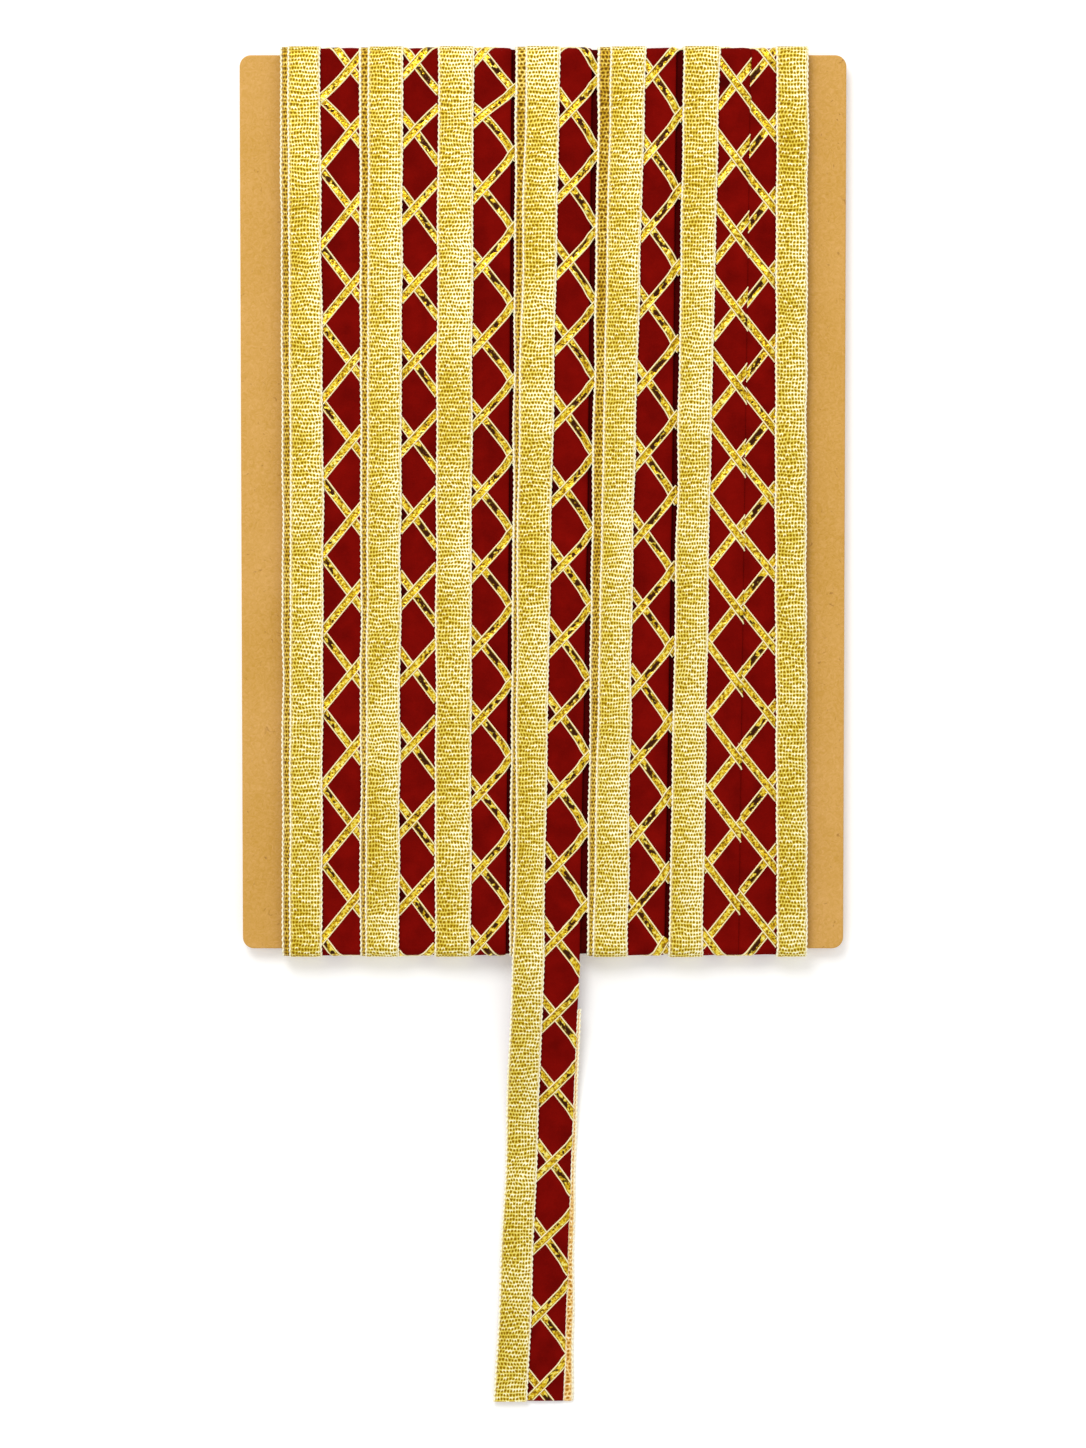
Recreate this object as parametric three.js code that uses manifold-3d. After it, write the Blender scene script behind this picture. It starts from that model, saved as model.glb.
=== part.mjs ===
// Gold and red lace trim, wound on a card, with one loose end hanging past the card's foot.
// Millimetres, +Z up. The card lies on its back: its face looks up, its head is at +Y.
import * as THREE from 'three';
import { mergeVertices } from 'three/addons/utils/BufferGeometryUtils.js';
import Module from 'manifold-3d';

const wasm = await Module();
wasm.setup();

// The card, a thin fibreboard with rounded corners and softened edges.
const CARD = { width: 150, length: 221.6, thickness: 3, cornerRadius: 2.4, softening: 0.4 };
const CARD_SEGMENTS = { corner: 6, softening: 2 };
const GAP = 0.3; // air between pieces that touch
const HALF_LENGTH = CARD.length / 2;

// Layers of the winding. front, edge and back are how far a layer stands out from the
// air gap round the card, before its face, past its head and foot, and behind it.
// round is the radius at which the layer turns the card's edges.
const LAYERS = {
  inside: { front: 0, edge: 0, back: 0, round: 0.3 },
  core: { front: 0.5, edge: 0.5, back: 0.35, round: 0.8 },
  firstTurns: { front: 1.0, edge: 1.0, back: 0.7, round: 1.4 },
  lowRibbon: { front: 1.8, edge: 1.15, back: 1.0, round: 1.8 },
  ribbon: { front: 2.3, edge: 1.25, back: 1.15, round: 2.0 },
  underTape: { front: 2.9, edge: 1.45, back: 1.4, round: 2.2 },
  tape: { front: 3.4, edge: 1.7, back: 1.6, round: 2.6 },
};
const LAYER_NAMES = Object.keys(LAYERS);
const INSIDE_BACK = LAYERS.tape.back; // the tapes behind the card lie on the surface
const CARD_UNDERSIDE = INSIDE_BACK + GAP;
const INSIDE_FRONT = CARD_UNDERSIDE + CARD.thickness + GAP;
const NOSE_HEIGHT = CARD_UNDERSIDE + CARD.thickness / 2;
const REACH = HALF_LENGTH + GAP + LAYERS.tape.edge;

// The turns of trim on the card's face, from left to right, at the card's head, middle
// and foot: x of the under tape's left edge, of the tape's two edges, and of the folded
// ribbon's right edge. Where a turn tucks under the next, its ribbon ends out of sight.
const TURNS = [
  {
    head: { under: -64.8, tapeLeft: -63.0, tapeRight: -54.9, fold: -44.9 },
    middle: { under: -64.6, tapeLeft: -62.6, tapeRight: -54.3, fold: -44.8 },
    foot: { under: -65.0, tapeLeft: -63.2, tapeRight: -55.0, fold: -45.2 },
  },
  {
    head: { under: -45.3, tapeLeft: -43.1, tapeRight: -34.4, fold: -25.4 },
    middle: { under: -45.2, tapeLeft: -43.6, tapeRight: -35.1, fold: -26.1 },
    foot: { under: -45.6, tapeLeft: -44.3, tapeRight: -35.8, fold: -26.6 },
  },
  {
    head: { under: -26.1, tapeLeft: -25.8, tapeRight: -17.0, fold: -7.4 },
    middle: { under: -26.8, tapeLeft: -26.5, tapeRight: -17.6, fold: -8.3 },
    foot: { under: -27.3, tapeLeft: -27.0, tapeRight: -17.9, fold: -10.0 },
  },
  {
    head: { under: -7.1, tapeLeft: -4.2, tapeRight: 4.3, fold: 12.6 },
    middle: { under: -8.0, tapeLeft: -6.4, tapeRight: 2.2, fold: 11.6 },
    foot: { under: -8.5, tapeLeft: -7.0, tapeRight: 0.2, fold: 9.2 },
  },
  {
    head: { under: 13.6, tapeLeft: 16.6, tapeRight: 25.4, fold: 33.4 },
    middle: { under: 12.1, tapeLeft: 14.5, tapeRight: 22.5, fold: 32.4 },
    foot: { under: 10.9, tapeLeft: 12.4, tapeRight: 21.1, fold: 30.6 },
  },
  {
    head: { under: 34.3, tapeLeft: 34.6, tapeRight: 43.6, fold: 51.3 },
    middle: { under: 32.8, tapeLeft: 33.1, tapeRight: 41.3, fold: 50.0 },
    foot: { under: 31.0, tapeLeft: 31.3, tapeRight: 39.8, fold: 48.8 },
  },
];
// The last pass on the right is turned round: its ribbon is on the left, tucked under
// its neighbour's fold, and its tape is on the right.
const TURNED_PASS = {
  head: { ribbonLeft: 46.5, tapeLeft: 57.5, tapeRight: 65.4 },
  middle: { ribbonLeft: 45.5, tapeLeft: 57.4, tapeRight: 65.2 },
  foot: { ribbonLeft: 44.0, tapeLeft: 58.2, tapeRight: 65.8 },
};
const FIRST_TURNS = { left: -64.2, right: 64.6 }; // the turns beneath, wound first
const LOOSE_TURN = 3; // place in TURNS of the turn whose end runs loose

// Foil ribbons sewn over the red one in a lattice of diamonds.
const FOIL = { width: 2.0, proud: 0.35, rooted: 0.25, under: 0.5, looseSegments: 4 };
// Each turn's lattice: x of a row of crossings at the head and foot, y of one crossing, their
// pitch, how far to the side the next row is, half a pitch on, and how much steeper the
// ribbons that fall to the right are than those that rise.
const LATTICES = [
  { head: -47.4, foot: -47.4, crossing: -3.5, pitch: 19.07, side: 7.5, skew: 0.05 },
  { head: -31.5, foot: -32.7, crossing: -2.8, pitch: 18.94, side: 7.7, skew: 0.12 },
  { head: -14.8, foot: -15.5, crossing: 3.0, pitch: 18.66, side: 7.9, skew: 0.07 },
  { head: 7.3, foot: 3.4, crossing: 3.8, pitch: 18.65, side: 7.65, skew: 0.14 },
  { head: 27.2, foot: 23.1, crossing: -6.6, pitch: 18.73, side: 7.3, skew: 0.08 },
  { head: 47.6, foot: 48.0, crossing: -7.0, pitch: 18.42, side: 7.1, skew: 0.04 },
];
const TURNED_LATTICE = { head: 55.6, foot: 56.0, crossing: 2.3, pitch: 18.09, side: 7.2, skew: 0 };
const LATTICE_HALF = 106; // the lattice is raised on the flat of the face, up to here

// Where stations lie on the card's face and back, and where cut ends lie behind it.
const FACE_STATIONS = [105, 52, 0, -52, -105];
const BACK_STATIONS = [-105, 0, 105];
const CORNER_STEPS = 3;
const CUT_END = { start: 70, last: 50, turnedHead: 62, turnedFoot: -40 };

// The loose end: how far it goes, where it leaves the face, and where it reaches the
// surface. It is on the face's level down to edge, and lies on the surface from landing on.
const LOOSE = { start: -104, edge: -111.8, landing: -166, end: -225.8, thickness: 1.0, step: 5 };
const LOOSE_ROWS = [
  { y: -104, tapeLeft: -7.2, tapeRight: 0.3, fold: 9.3, backTape: 9.9 },
  { y: -113, tapeLeft: -7.7, tapeRight: 0.4, fold: 9.2, backTape: 9.9 },
  { y: -169.5, tapeLeft: -9.7, tapeRight: -1.7, fold: 7.0, backTape: 8.1 },
  { y: -225.8, tapeLeft: -12.4, tapeRight: -3.9, fold: 5.2, backTape: 7.6 },
];
const LOOSE_LATTICE = { head: 3.4, foot: -0.5, crossing: -145.6, pitch: 18.98, side: 8.3, skew: 0.11 };
const TAPE_INSET = 0.5; // the ribbon's cut edge lies this far inside the tape's
const BACK_TAPE_START = -128;

const FINISHES = {
  card: { color: 0xd4a354, roughness: 0.85, metalness: 0.0 },
  ribbon: { color: 0x7d0f0c, roughness: 0.8, metalness: 0.0 },
  tape: { color: 0xdcc06a, roughness: 0.45, metalness: 0.6 },
};
const MERGE_WITHIN = 1e-4;
const SMALLEST_EDGE = 0.02;

const lerp = THREE.MathUtils.lerp;

/** A value between the head, middle and foot of the card, at height y. */
function between(head, middle, foot, y) {
  const t = THREE.MathUtils.clamp(y / HALF_LENGTH, -1, 1);
  return t > 0 ? lerp(middle, head, t) : lerp(middle, foot, -t);
}

/** A row of named edges between two rows. */
function mixEdges(from, to, t) {
  return Object.fromEntries(Object.keys(from).map((name) => [name, lerp(from[name], to[name], t)]));
}

/** The edges of a pass on the face, at height y. */
function faceEdges(pass, y) {
  const { head, middle, foot } = pass;
  return Object.fromEntries(
    Object.keys(head).map((name) => [name, between(head[name], middle[name], foot[name], y)]),
  );
}

/** Drops a geometry's other attributes and joins its shared vertices. */
function bare(geometry) {
  const plain = geometry.clone();
  Object.keys(plain.attributes)
    .filter((name) => name !== 'position')
    .forEach((name) => plain.deleteAttribute(name));
  return mergeVertices(plain, MERGE_WITHIN);
}

function toSolid(geometry) {
  const merged = bare(geometry);
  return new wasm.Manifold(
    new wasm.Mesh({
      numProp: 3,
      vertProperties: Float32Array.from(merged.attributes.position.array),
      triVerts: Uint32Array.from(merged.index.array),
    }),
  );
}

function toGeometry(solid) {
  const mesh = solid.getMesh();
  const geometry = new THREE.BufferGeometry();
  geometry.setAttribute('position', new THREE.BufferAttribute(mesh.vertProperties, 3));
  geometry.setIndex(new THREE.BufferAttribute(mesh.triVerts, 1));
  geometry.computeVertexNormals();
  return geometry;
}

/** One solid of many, without the slivers and tiny edges that nearly meeting faces leave. */
function joined(solids) {
  const bodies = wasm.Manifold.union(solids).decompose();
  return bodies.reduce((a, b) => (a.volume() > b.volume() ? a : b)).simplify(SMALLEST_EDGE);
}

/** Moves each of a geometry's points to place(point). */
function moved(geometry, place) {
  const position = geometry.attributes.position;
  const point = new THREE.Vector3();
  for (let i = 0; i < position.count; i += 1) {
    point.copy(place(point.fromBufferAttribute(position, i)));
    position.setXYZ(i, point.x, point.y, point.z);
  }
  return geometry;
}

/** Extrudes an outline in whole steps, then puts its points in place by step number. */
function swept(outline, stepCount, place) {
  const shape = new THREE.Shape(outline.map(([x, y]) => new THREE.Vector2(x, y)));
  const geometry = new THREE.ExtrudeGeometry(shape, {
    depth: stepCount,
    steps: stepCount,
    bevelEnabled: false,
  });
  return moved(geometry, (p) => place(Math.round(p.x), Math.round(p.y), Math.round(p.z)));
}

// A station is a place on the way round the card: on its face or back at height y, at an
// angle round one of the four corners where the trim turns over the head or foot, or at
// the nose, half-way down the card's end.
const onFace = (y) => ({ side: 1, y });
const onBack = (y) => ({ side: -1, y });

/** Stations round a corner, from angle to angle in quarter turns; 1 is on the face or back. */
function corner(end, side, from, to) {
  return Array.from({ length: CORNER_STEPS + 1 }, (_, i) => ({
    end,
    side,
    angle: (Math.PI / 2) * lerp(from, to, i / CORNER_STEPS),
  }));
}

const HEAD_FRONT = corner(1, 1, 0, 1);
const HEAD_BACK = corner(1, -1, 1, 0);
const FOOT_FRONT = corner(-1, 1, 1, 0);
const FOOT_BACK = corner(-1, -1, 0, 1);
const HEAD_NOSE = { end: 1, nose: true };
const FOOT_NOSE = { end: -1, nose: true };

/** Where a layer passes a station: y and z. */
function layerPoint(layer, station) {
  const { side, end, angle, nose, y } = station;
  const reach = HALF_LENGTH + GAP + layer.edge;
  const level = side > 0 ? INSIDE_FRONT + layer.front : INSIDE_BACK - layer.back;
  if (nose) {
    return { y: end * reach, z: NOSE_HEIGHT };
  }
  if (angle === undefined) {
    return { y, z: level };
  }
  return {
    y: end * (reach - layer.round * (1 - Math.cos(angle))),
    z: level - side * layer.round * (1 - Math.sin(angle)),
  };
}

/** A band round the card: outline holds [edge name, layer name] corners, as one cut through it. */
function band(outline, stations, edgesAt) {
  const edgeNames = Object.keys(edgesAt(stations[0])); // from left to right, as in the tables
  const numbered = outline.map(([edge, layer]) => [
    edgeNames.indexOf(edge),
    LAYER_NAMES.indexOf(layer),
  ]);
  const geometry = swept(numbered, stations.length - 1, (edge, layer, step) => {
    const station = stations[step];
    const { y, z } = layerPoint(LAYERS[LAYER_NAMES[layer]], station);
    return new THREE.Vector3(edgesAt(station)[edgeNames[edge]], y, z);
  });
  return toSolid(geometry);
}

const TURN_OUTLINE = [
  ['under', 'core'],
  ['fold', 'core'],
  ['fold', 'ribbon'],
  ['tapeRight', 'ribbon'],
  ['tapeRight', 'tape'],
  ['tapeLeft', 'tape'],
  ['tapeLeft', 'underTape'],
  ['under', 'underTape'],
];
const TURNED_OUTLINE = [
  ['ribbonLeft', 'core'],
  ['tapeRight', 'core'],
  ['tapeRight', 'tape'],
  ['tapeLeft', 'tape'],
  ['tapeLeft', 'lowRibbon'],
  ['ribbonLeft', 'lowRibbon'],
];
const FIRST_OUTLINE = [
  ['left', 'inside'],
  ['right', 'inside'],
  ['right', 'firstTurns'],
  ['left', 'firstTurns'],
];

/** A row of named edges, each moved by a shift. */
function shifted(edges, shift) {
  return Object.fromEntries(Object.entries(edges).map(([name, x]) => [name, x + shift]));
}

/** The height of a station, which is the card's own end at its corners. */
function heightOf(station) {
  return station.y ?? station.end * HALF_LENGTH;
}

/** The solids of one turn: down the face, round the foot and slanting up to the next turn. */
function turnSolids(index) {
  const turn = TURNS[index];
  const pitch = TURNS[1].head.under - TURNS[0].head.under;
  const nextHead = TURNS[index + 1]?.head ?? shifted(turn.head, pitch);
  const arrival = { ...HEAD_NOSE, arrives: true };
  const edgesAt = (station) => {
    const y = heightOf(station);
    const behind = station.side < 0 || station.arrives;
    return behind
      ? mixEdges(turn.foot, nextHead, (y + HALF_LENGTH) / CARD.length)
      : faceEdges(turn, y);
  };
  const isLast = index === TURNS.length - 1;
  const back = isLast
    ? [...BACK_STATIONS.filter((y) => y < CUT_END.last), CUT_END.last].map(onBack)
    : [...BACK_STATIONS.map(onBack), ...HEAD_BACK, arrival];
  if (index !== LOOSE_TURN) {
    const face = FACE_STATIONS.map(onFace);
    const stations = [HEAD_NOSE, ...HEAD_FRONT, ...face, ...FOOT_FRONT, ...FOOT_BACK, ...back];
    return [band(TURN_OUTLINE, stations, edgesAt)];
  }
  const faceEnd = LOOSE.start + GAP;
  const face = [...FACE_STATIONS.filter((y) => y > faceEnd), faceEnd].map(onFace);
  return [
    band(TURN_OUTLINE, [HEAD_NOSE, ...HEAD_FRONT, ...face], edgesAt),
    band(TURN_OUTLINE, [FOOT_NOSE, ...FOOT_BACK, ...back], edgesAt),
  ];
}

/** Where the winding begins: a cut end behind the card that comes up to the first turn. */
function beginningSolid() {
  const [first, second] = TURNS;
  const slant = (second.head.under - first.foot.under) / CARD.length;
  const top = BACK_STATIONS[BACK_STATIONS.length - 1];
  const stations = [onBack(CUT_END.start), onBack(top), ...HEAD_BACK, HEAD_NOSE];
  const edgesAt = (station) => shifted(first.head, slant * (heightOf(station) - HALF_LENGTH));
  return band(TURN_OUTLINE, stations, edgesAt);
}

/** The turned pass on the right, with both of its ends tucked in behind the card. */
function turnedSolid() {
  const stations = [
    onBack(CUT_END.turnedHead),
    onBack(BACK_STATIONS[BACK_STATIONS.length - 1]),
    ...HEAD_BACK,
    ...HEAD_FRONT,
    ...FACE_STATIONS.map(onFace),
    ...FOOT_FRONT,
    ...FOOT_BACK,
    onBack(BACK_STATIONS[0]),
    onBack(CUT_END.turnedFoot),
  ];
  return band(TURNED_OUTLINE, stations, (station) => faceEdges(TURNED_PASS, heightOf(station)));
}

/** The turns wound first, closed round the card under all the others. */
function firstTurnsSolid() {
  const shell = new THREE.Shape();
  const hole = new THREE.Path();
  const loop = [...HEAD_FRONT, ...FOOT_FRONT, ...FOOT_BACK, ...HEAD_BACK];
  const trace = (layer) =>
    loop.map((station) => {
      const { y, z } = layerPoint(layer, station);
      return new THREE.Vector2(y, z);
    });
  shell.setFromPoints(trace(LAYERS.firstTurns));
  hole.setFromPoints(trace(LAYERS.inside));
  shell.holes.push(hole);
  const width = FIRST_TURNS.right - FIRST_TURNS.left;
  const geometry = new THREE.ExtrudeGeometry(shell, { depth: width, bevelEnabled: false });
  const place = (p) => new THREE.Vector3(FIRST_TURNS.left + p.z, p.x, p.y);
  return toSolid(moved(geometry, place));
}

/** Outlines of the foil ribbons that cross a red one between two edges and two heights. */
function foilOutlines(lattice, rowAt, leftAt, rightAt, low, high, segments) {
  const { pitch, side, skew } = lattice;
  const rise = pitch / 2 / side;
  const halfHeight = (FOIL.width / 2) * Math.hypot(1, rise);
  const outlines = [];
  const count = Math.ceil((high - low) / pitch) + 1;
  for (let n = -count; n <= count; n += 1) {
    const crossing = lattice.crossing + n * pitch;
    for (const slope of [rise - skew, -rise - skew]) {
      const row = rowAt(crossing);
      const yAt = (x) => crossing + slope * (x - row);
      const xAtHeight = (y) => row + (y - crossing) / slope;
      const left = leftAt(yAt(leftAt(crossing)));
      const right = rightAt(yAt(rightAt(crossing)));
      const inside = [xAtHeight(low + halfHeight), xAtHeight(high - halfHeight)].sort((a, b) => a - b);
      const from = Math.max(left, inside[0]);
      const to = Math.min(right, inside[1]);
      if (to - from < FOIL.width) {
        continue;
      }
      const xs = Array.from({ length: segments + 1 }, (_, i) => lerp(from, to, i / segments));
      const under = xs.map((x) => new THREE.Vector2(x, yAt(x) - halfHeight));
      const over = xs.map((x) => new THREE.Vector2(x, yAt(x) + halfHeight)).reverse();
      outlines.push([...under, ...over]);
    }
  }
  return outlines;
}

/** A foil ribbon of an outline, standing proud of the face that lies at faceAt(y). */
function foilSolid(outline, faceAt) {
  const geometry = new THREE.ExtrudeGeometry(new THREE.Shape(outline), {
    depth: FOIL.rooted + FOIL.proud,
    bevelEnabled: false,
  });
  return toSolid(moved(geometry, (p) => p.setZ(p.z - FOIL.rooted + faceAt(p.y))));
}

function latticeSolids(lattice, pass, edges, layer, low) {
  const rowAt = (y) => lerp(lattice.foot, lattice.head, (y + HALF_LENGTH) / CARD.length);
  const leftAt = (y) => edges(faceEdges(pass, y)).left;
  const rightAt = (y) => edges(faceEdges(pass, y)).right;
  const face = INSIDE_FRONT + layer.front;
  return foilOutlines(lattice, rowAt, leftAt, rightAt, low, LATTICE_HALF, 1).map((outline) =>
    foilSolid(outline, () => face),
  );
}

function woundTrim() {
  const solids = [firstTurnsSolid(), beginningSolid(), turnedSolid()];
  TURNS.forEach((turn, index) => {
    const low = index === LOOSE_TURN ? LOOSE.start + GAP : -LATTICE_HALF;
    const betweenTapeAndFold = (e) => ({ left: e.tapeRight - FOIL.under, right: e.fold });
    solids.push(...turnSolids(index));
    solids.push(...latticeSolids(LATTICES[index], turn, betweenTapeAndFold, LAYERS.ribbon, low));
  });
  const betweenFoldAndTape = (e) => ({ left: e.ribbonLeft + FOIL.under, right: e.tapeLeft + FOIL.under });
  const low = -LATTICE_HALF;
  solids.push(
    ...latticeSolids(TURNED_LATTICE, TURNED_PASS, betweenFoldAndTape, LAYERS.lowRibbon, low),
  );
  return toGeometry(joined(solids));
}

/** Edges of the loose end at height y. */
function looseEdges(y) {
  const index = Math.max(1, LOOSE_ROWS.findIndex((row) => row.y <= y));
  const above = LOOSE_ROWS[index - 1];
  const below = LOOSE_ROWS[index];
  return mixEdges(above, below, THREE.MathUtils.clamp((y - above.y) / (below.y - above.y), 0, 1));
}

/** How high the loose end's underside is at height y of the card. */
function looseUnderside(y) {
  const top = INSIDE_FRONT + LAYERS.firstTurns.front + GAP;
  return top * THREE.MathUtils.smoothstep(y, LOOSE.landing, LOOSE.edge);
}

/** A strip of the loose end between two edges, its underside lift above the trim's own. */
function looseStrip(start, lift, edges) {
  const stepCount = Math.ceil((start - LOOSE.end) / LOOSE.step);
  const outline = [[0, 0], [1, 0], [1, 1], [0, 1]];
  return swept(outline, stepCount, (edge, level, step) => {
    const y = lerp(start, LOOSE.end, step / stepCount);
    const z = looseUnderside(y) + lift + level * LOOSE.thickness;
    return new THREE.Vector3(edges(looseEdges(y))[edge], y, z);
  });
}

function looseRibbon() {
  const ribbon = looseStrip(LOOSE.start, 0, (e) => [e.tapeLeft + TAPE_INSET, e.fold]);
  const { head, foot } = LOOSE_LATTICE;
  const rowAt = (y) => lerp(foot, head, (y - LOOSE.end) / (LOOSE.start - LOOSE.end));
  const outlines = foilOutlines(
    LOOSE_LATTICE,
    rowAt,
    (y) => looseEdges(y).tapeRight + GAP,
    (y) => looseEdges(y).fold,
    LOOSE.end,
    LOOSE.start,
    FOIL.looseSegments,
  );
  const faceAt = (y) => looseUnderside(y) + LOOSE.thickness;
  const foils = outlines.map((outline) => foilSolid(outline, faceAt));
  return toGeometry(joined([toSolid(ribbon), ...foils]));
}

function looseTape() {
  const lift = LOOSE.thickness + GAP;
  return bare(looseStrip(LOOSE.start, lift, (e) => [e.tapeLeft, e.tapeRight]));
}

/** The back tape, only where it shows beside the ribbon's fold. */
function looseBackTape() {
  return bare(looseStrip(BACK_TAPE_START, 0, (e) => [e.fold + GAP, e.backTape]));
}

function card() {
  const { width, length, thickness, cornerRadius, softening } = CARD;
  const x = width / 2 - softening;
  const y = length / 2 - softening;
  const r = cornerRadius;
  const shape = new THREE.Shape();
  shape.moveTo(-x + r, -y);
  shape.lineTo(x - r, -y);
  shape.absarc(x - r, -y + r, r, -Math.PI / 2, 0);
  shape.absarc(x - r, y - r, r, 0, Math.PI / 2);
  shape.absarc(-x + r, y - r, r, Math.PI / 2, Math.PI);
  shape.absarc(-x + r, -y + r, r, Math.PI, Math.PI * 1.5);
  const geometry = new THREE.ExtrudeGeometry(shape, {
    depth: thickness - 2 * softening,
    curveSegments: CARD_SEGMENTS.corner,
    bevelEnabled: true,
    bevelThickness: softening,
    bevelSize: softening,
    bevelSegments: CARD_SEGMENTS.softening,
  });
  return bare(geometry.translate(0, 0, CARD_UNDERSIDE + softening));
}

function node(name, geometry, finish) {
  const mesh = new THREE.Mesh(geometry, new THREE.MeshStandardMaterial(FINISHES[finish]));
  mesh.name = name;
  return mesh;
}

const trim = new THREE.Group();
trim.add(
  node('card', card(), 'card'),
  node('wound_trim', woundTrim(), 'tape'),
  node('loose_ribbon', looseRibbon(), 'ribbon'),
  node('loose_tape', looseTape(), 'tape'),
  node('loose_back_tape', looseBackTape(), 'tape'),
);
// The origin is under the middle of the whole, loose end included.
trim.position.y = -(REACH + LOOSE.end) / 2;

export default trim;
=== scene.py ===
"""Gold and red lace trim wound on a card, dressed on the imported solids.

Sizes are in millimetres on the card: x to the right, y from the middle of the card towards its
head, z up from the surface it lies on. A place along the trim is its way, in millimetres from the
middle of the card's face, growing down the face, round the foot and up behind the card.
"""

import logging
import math
from collections.abc import Callable
from dataclasses import dataclass, field, replace
from enum import Enum
from functools import partial

import bmesh
import bpy
import numpy as np
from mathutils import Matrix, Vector

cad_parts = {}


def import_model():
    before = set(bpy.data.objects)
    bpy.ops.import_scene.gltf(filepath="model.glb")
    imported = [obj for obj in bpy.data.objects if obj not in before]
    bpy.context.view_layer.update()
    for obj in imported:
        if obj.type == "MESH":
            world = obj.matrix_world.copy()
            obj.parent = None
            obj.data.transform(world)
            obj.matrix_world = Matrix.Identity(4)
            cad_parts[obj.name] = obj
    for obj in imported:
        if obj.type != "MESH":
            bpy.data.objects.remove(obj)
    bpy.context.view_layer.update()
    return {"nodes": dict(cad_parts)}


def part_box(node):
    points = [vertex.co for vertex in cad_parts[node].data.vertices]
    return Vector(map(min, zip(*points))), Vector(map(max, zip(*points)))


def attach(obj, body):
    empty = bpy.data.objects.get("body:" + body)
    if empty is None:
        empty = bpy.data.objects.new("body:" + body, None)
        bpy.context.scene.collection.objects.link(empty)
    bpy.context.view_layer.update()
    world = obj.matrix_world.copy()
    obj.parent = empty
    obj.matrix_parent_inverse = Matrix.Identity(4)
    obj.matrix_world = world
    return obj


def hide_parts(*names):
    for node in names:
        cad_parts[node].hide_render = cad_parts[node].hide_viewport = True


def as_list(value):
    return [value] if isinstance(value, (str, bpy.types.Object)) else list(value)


LOG = logging.getLogger("lace_trim")
MM = 0.001
TAU = 2 * math.pi
Array = np.ndarray
Points = tuple[Array, Array, Array]  # x, y and z
Edge = Callable[[Array], Array]  # x at each way
Face = Callable[[Array], tuple[Array, Array, Array, Array]]  # y, z, and the normal's y and z, at each way
Surface = Callable[[Array, Array, Array], Points]  # from places across, places along and heights above
Shade = Callable[[Array, Array], Array]  # from places across and along
Span = tuple[float, float]  # a first and a last way
Ends = tuple[float, float, float]  # at the head, middle and foot
Colour = tuple[float, float, float]
Stops = tuple[tuple[float, Colour], ...]
Socket = bpy.types.NodeSocket
Thing = bpy.types.Object
Material = bpy.types.Material


# Numbers and smooth unevenness


def smooth(low: float, high: float, value: Array) -> Array:
    """Ease from 0 at low to 1 at high.

    Args:
        low: Where the ease starts; it may be above high.
        high: Where it ends.
        value: Where it is wanted.

    Returns:
        The eased share, from 0 to 1.
    """
    t = np.clip((value - low) / (high - low), 0.0, 1.0)
    return t * t * (3 - 2 * t)


def spaced(start: float, end: float, step: float) -> Array:
    """Places from start to end, about step apart."""
    return np.linspace(start, end, max(2, round((end - start) / step) + 1))


@dataclass(frozen=True)
class Ripple:
    """Smooth unevenness over a strip: a few sine waves of random phase.

    Attributes:
        seed: Which random phases it has.
        across: Typical wave length across the strip.
        along: Typical wave length along it.
        waves: How many waves are summed.
        spread: How much shorter and longer than typical a wave may be.
    """

    seed: int
    across: float
    along: float
    waves: int = 6
    spread: tuple[float, float] = (0.6, 1.7)

    def __call__(self, x: Array, way: Array) -> Array:
        """Height at each place.

        Args:
            x: Places across.
            way: Places along.

        Returns:
            Heights from about -1 to 1.
        """
        rng = np.random.default_rng(self.seed)
        total = np.zeros(np.broadcast(x, way).shape)
        for _ in range(self.waves):
            turn = rng.uniform(0, TAU)
            stretch_x, stretch_y = rng.uniform(*self.spread), rng.uniform(*self.spread)
            lean = rng.choice((-1.0, 1.0))
            phase = lean * TAU * x / (self.across * stretch_x) + TAU * way / (self.along * stretch_y)
            total = total + np.sin(phase + turn)
        return total / math.sqrt(self.waves)


# The winding's plan, in the same sizes as the solids


HALF = 110.8  # half the card's length
PINCH_GROWS, PINCH_FADES = (-92.0, -110.0), (-130.0, -115.0)  # ways, at the head and behind it
GLOOM_ACROSS = (-0.8, -1.7)  # distances from the row of crossings between which the shade grows
GLOOM_ALONG = (2.3, 1.2)  # distances from a crossing's height
GLOOM_REACH = (4.5, 4.0)  # distances from the row of crossings to the tape


@dataclass(frozen=True)
class Layer:
    """How far a layer stands out from the air gap round the card, and its radius at the edges."""

    front: float
    edge: float
    back: float
    radius: float


class Level(Enum):
    """The layers of the winding."""

    FIRST = Layer(1.0, 1.0, 0.7, 1.4)
    LOW_RIBBON = Layer(1.8, 1.15, 1.0, 1.8)
    RIBBON = Layer(2.3, 1.25, 1.15, 2.0)
    UNDER_TAPE = Layer(2.8, 1.45, 1.4, 2.2)
    TAPE = Layer(3.25, 1.6, 1.5, 2.6)


class Family(Enum):
    """The two ways that foil ribbons slant, as seen from the front."""

    RISING = 1
    FALLING = -1


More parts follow.
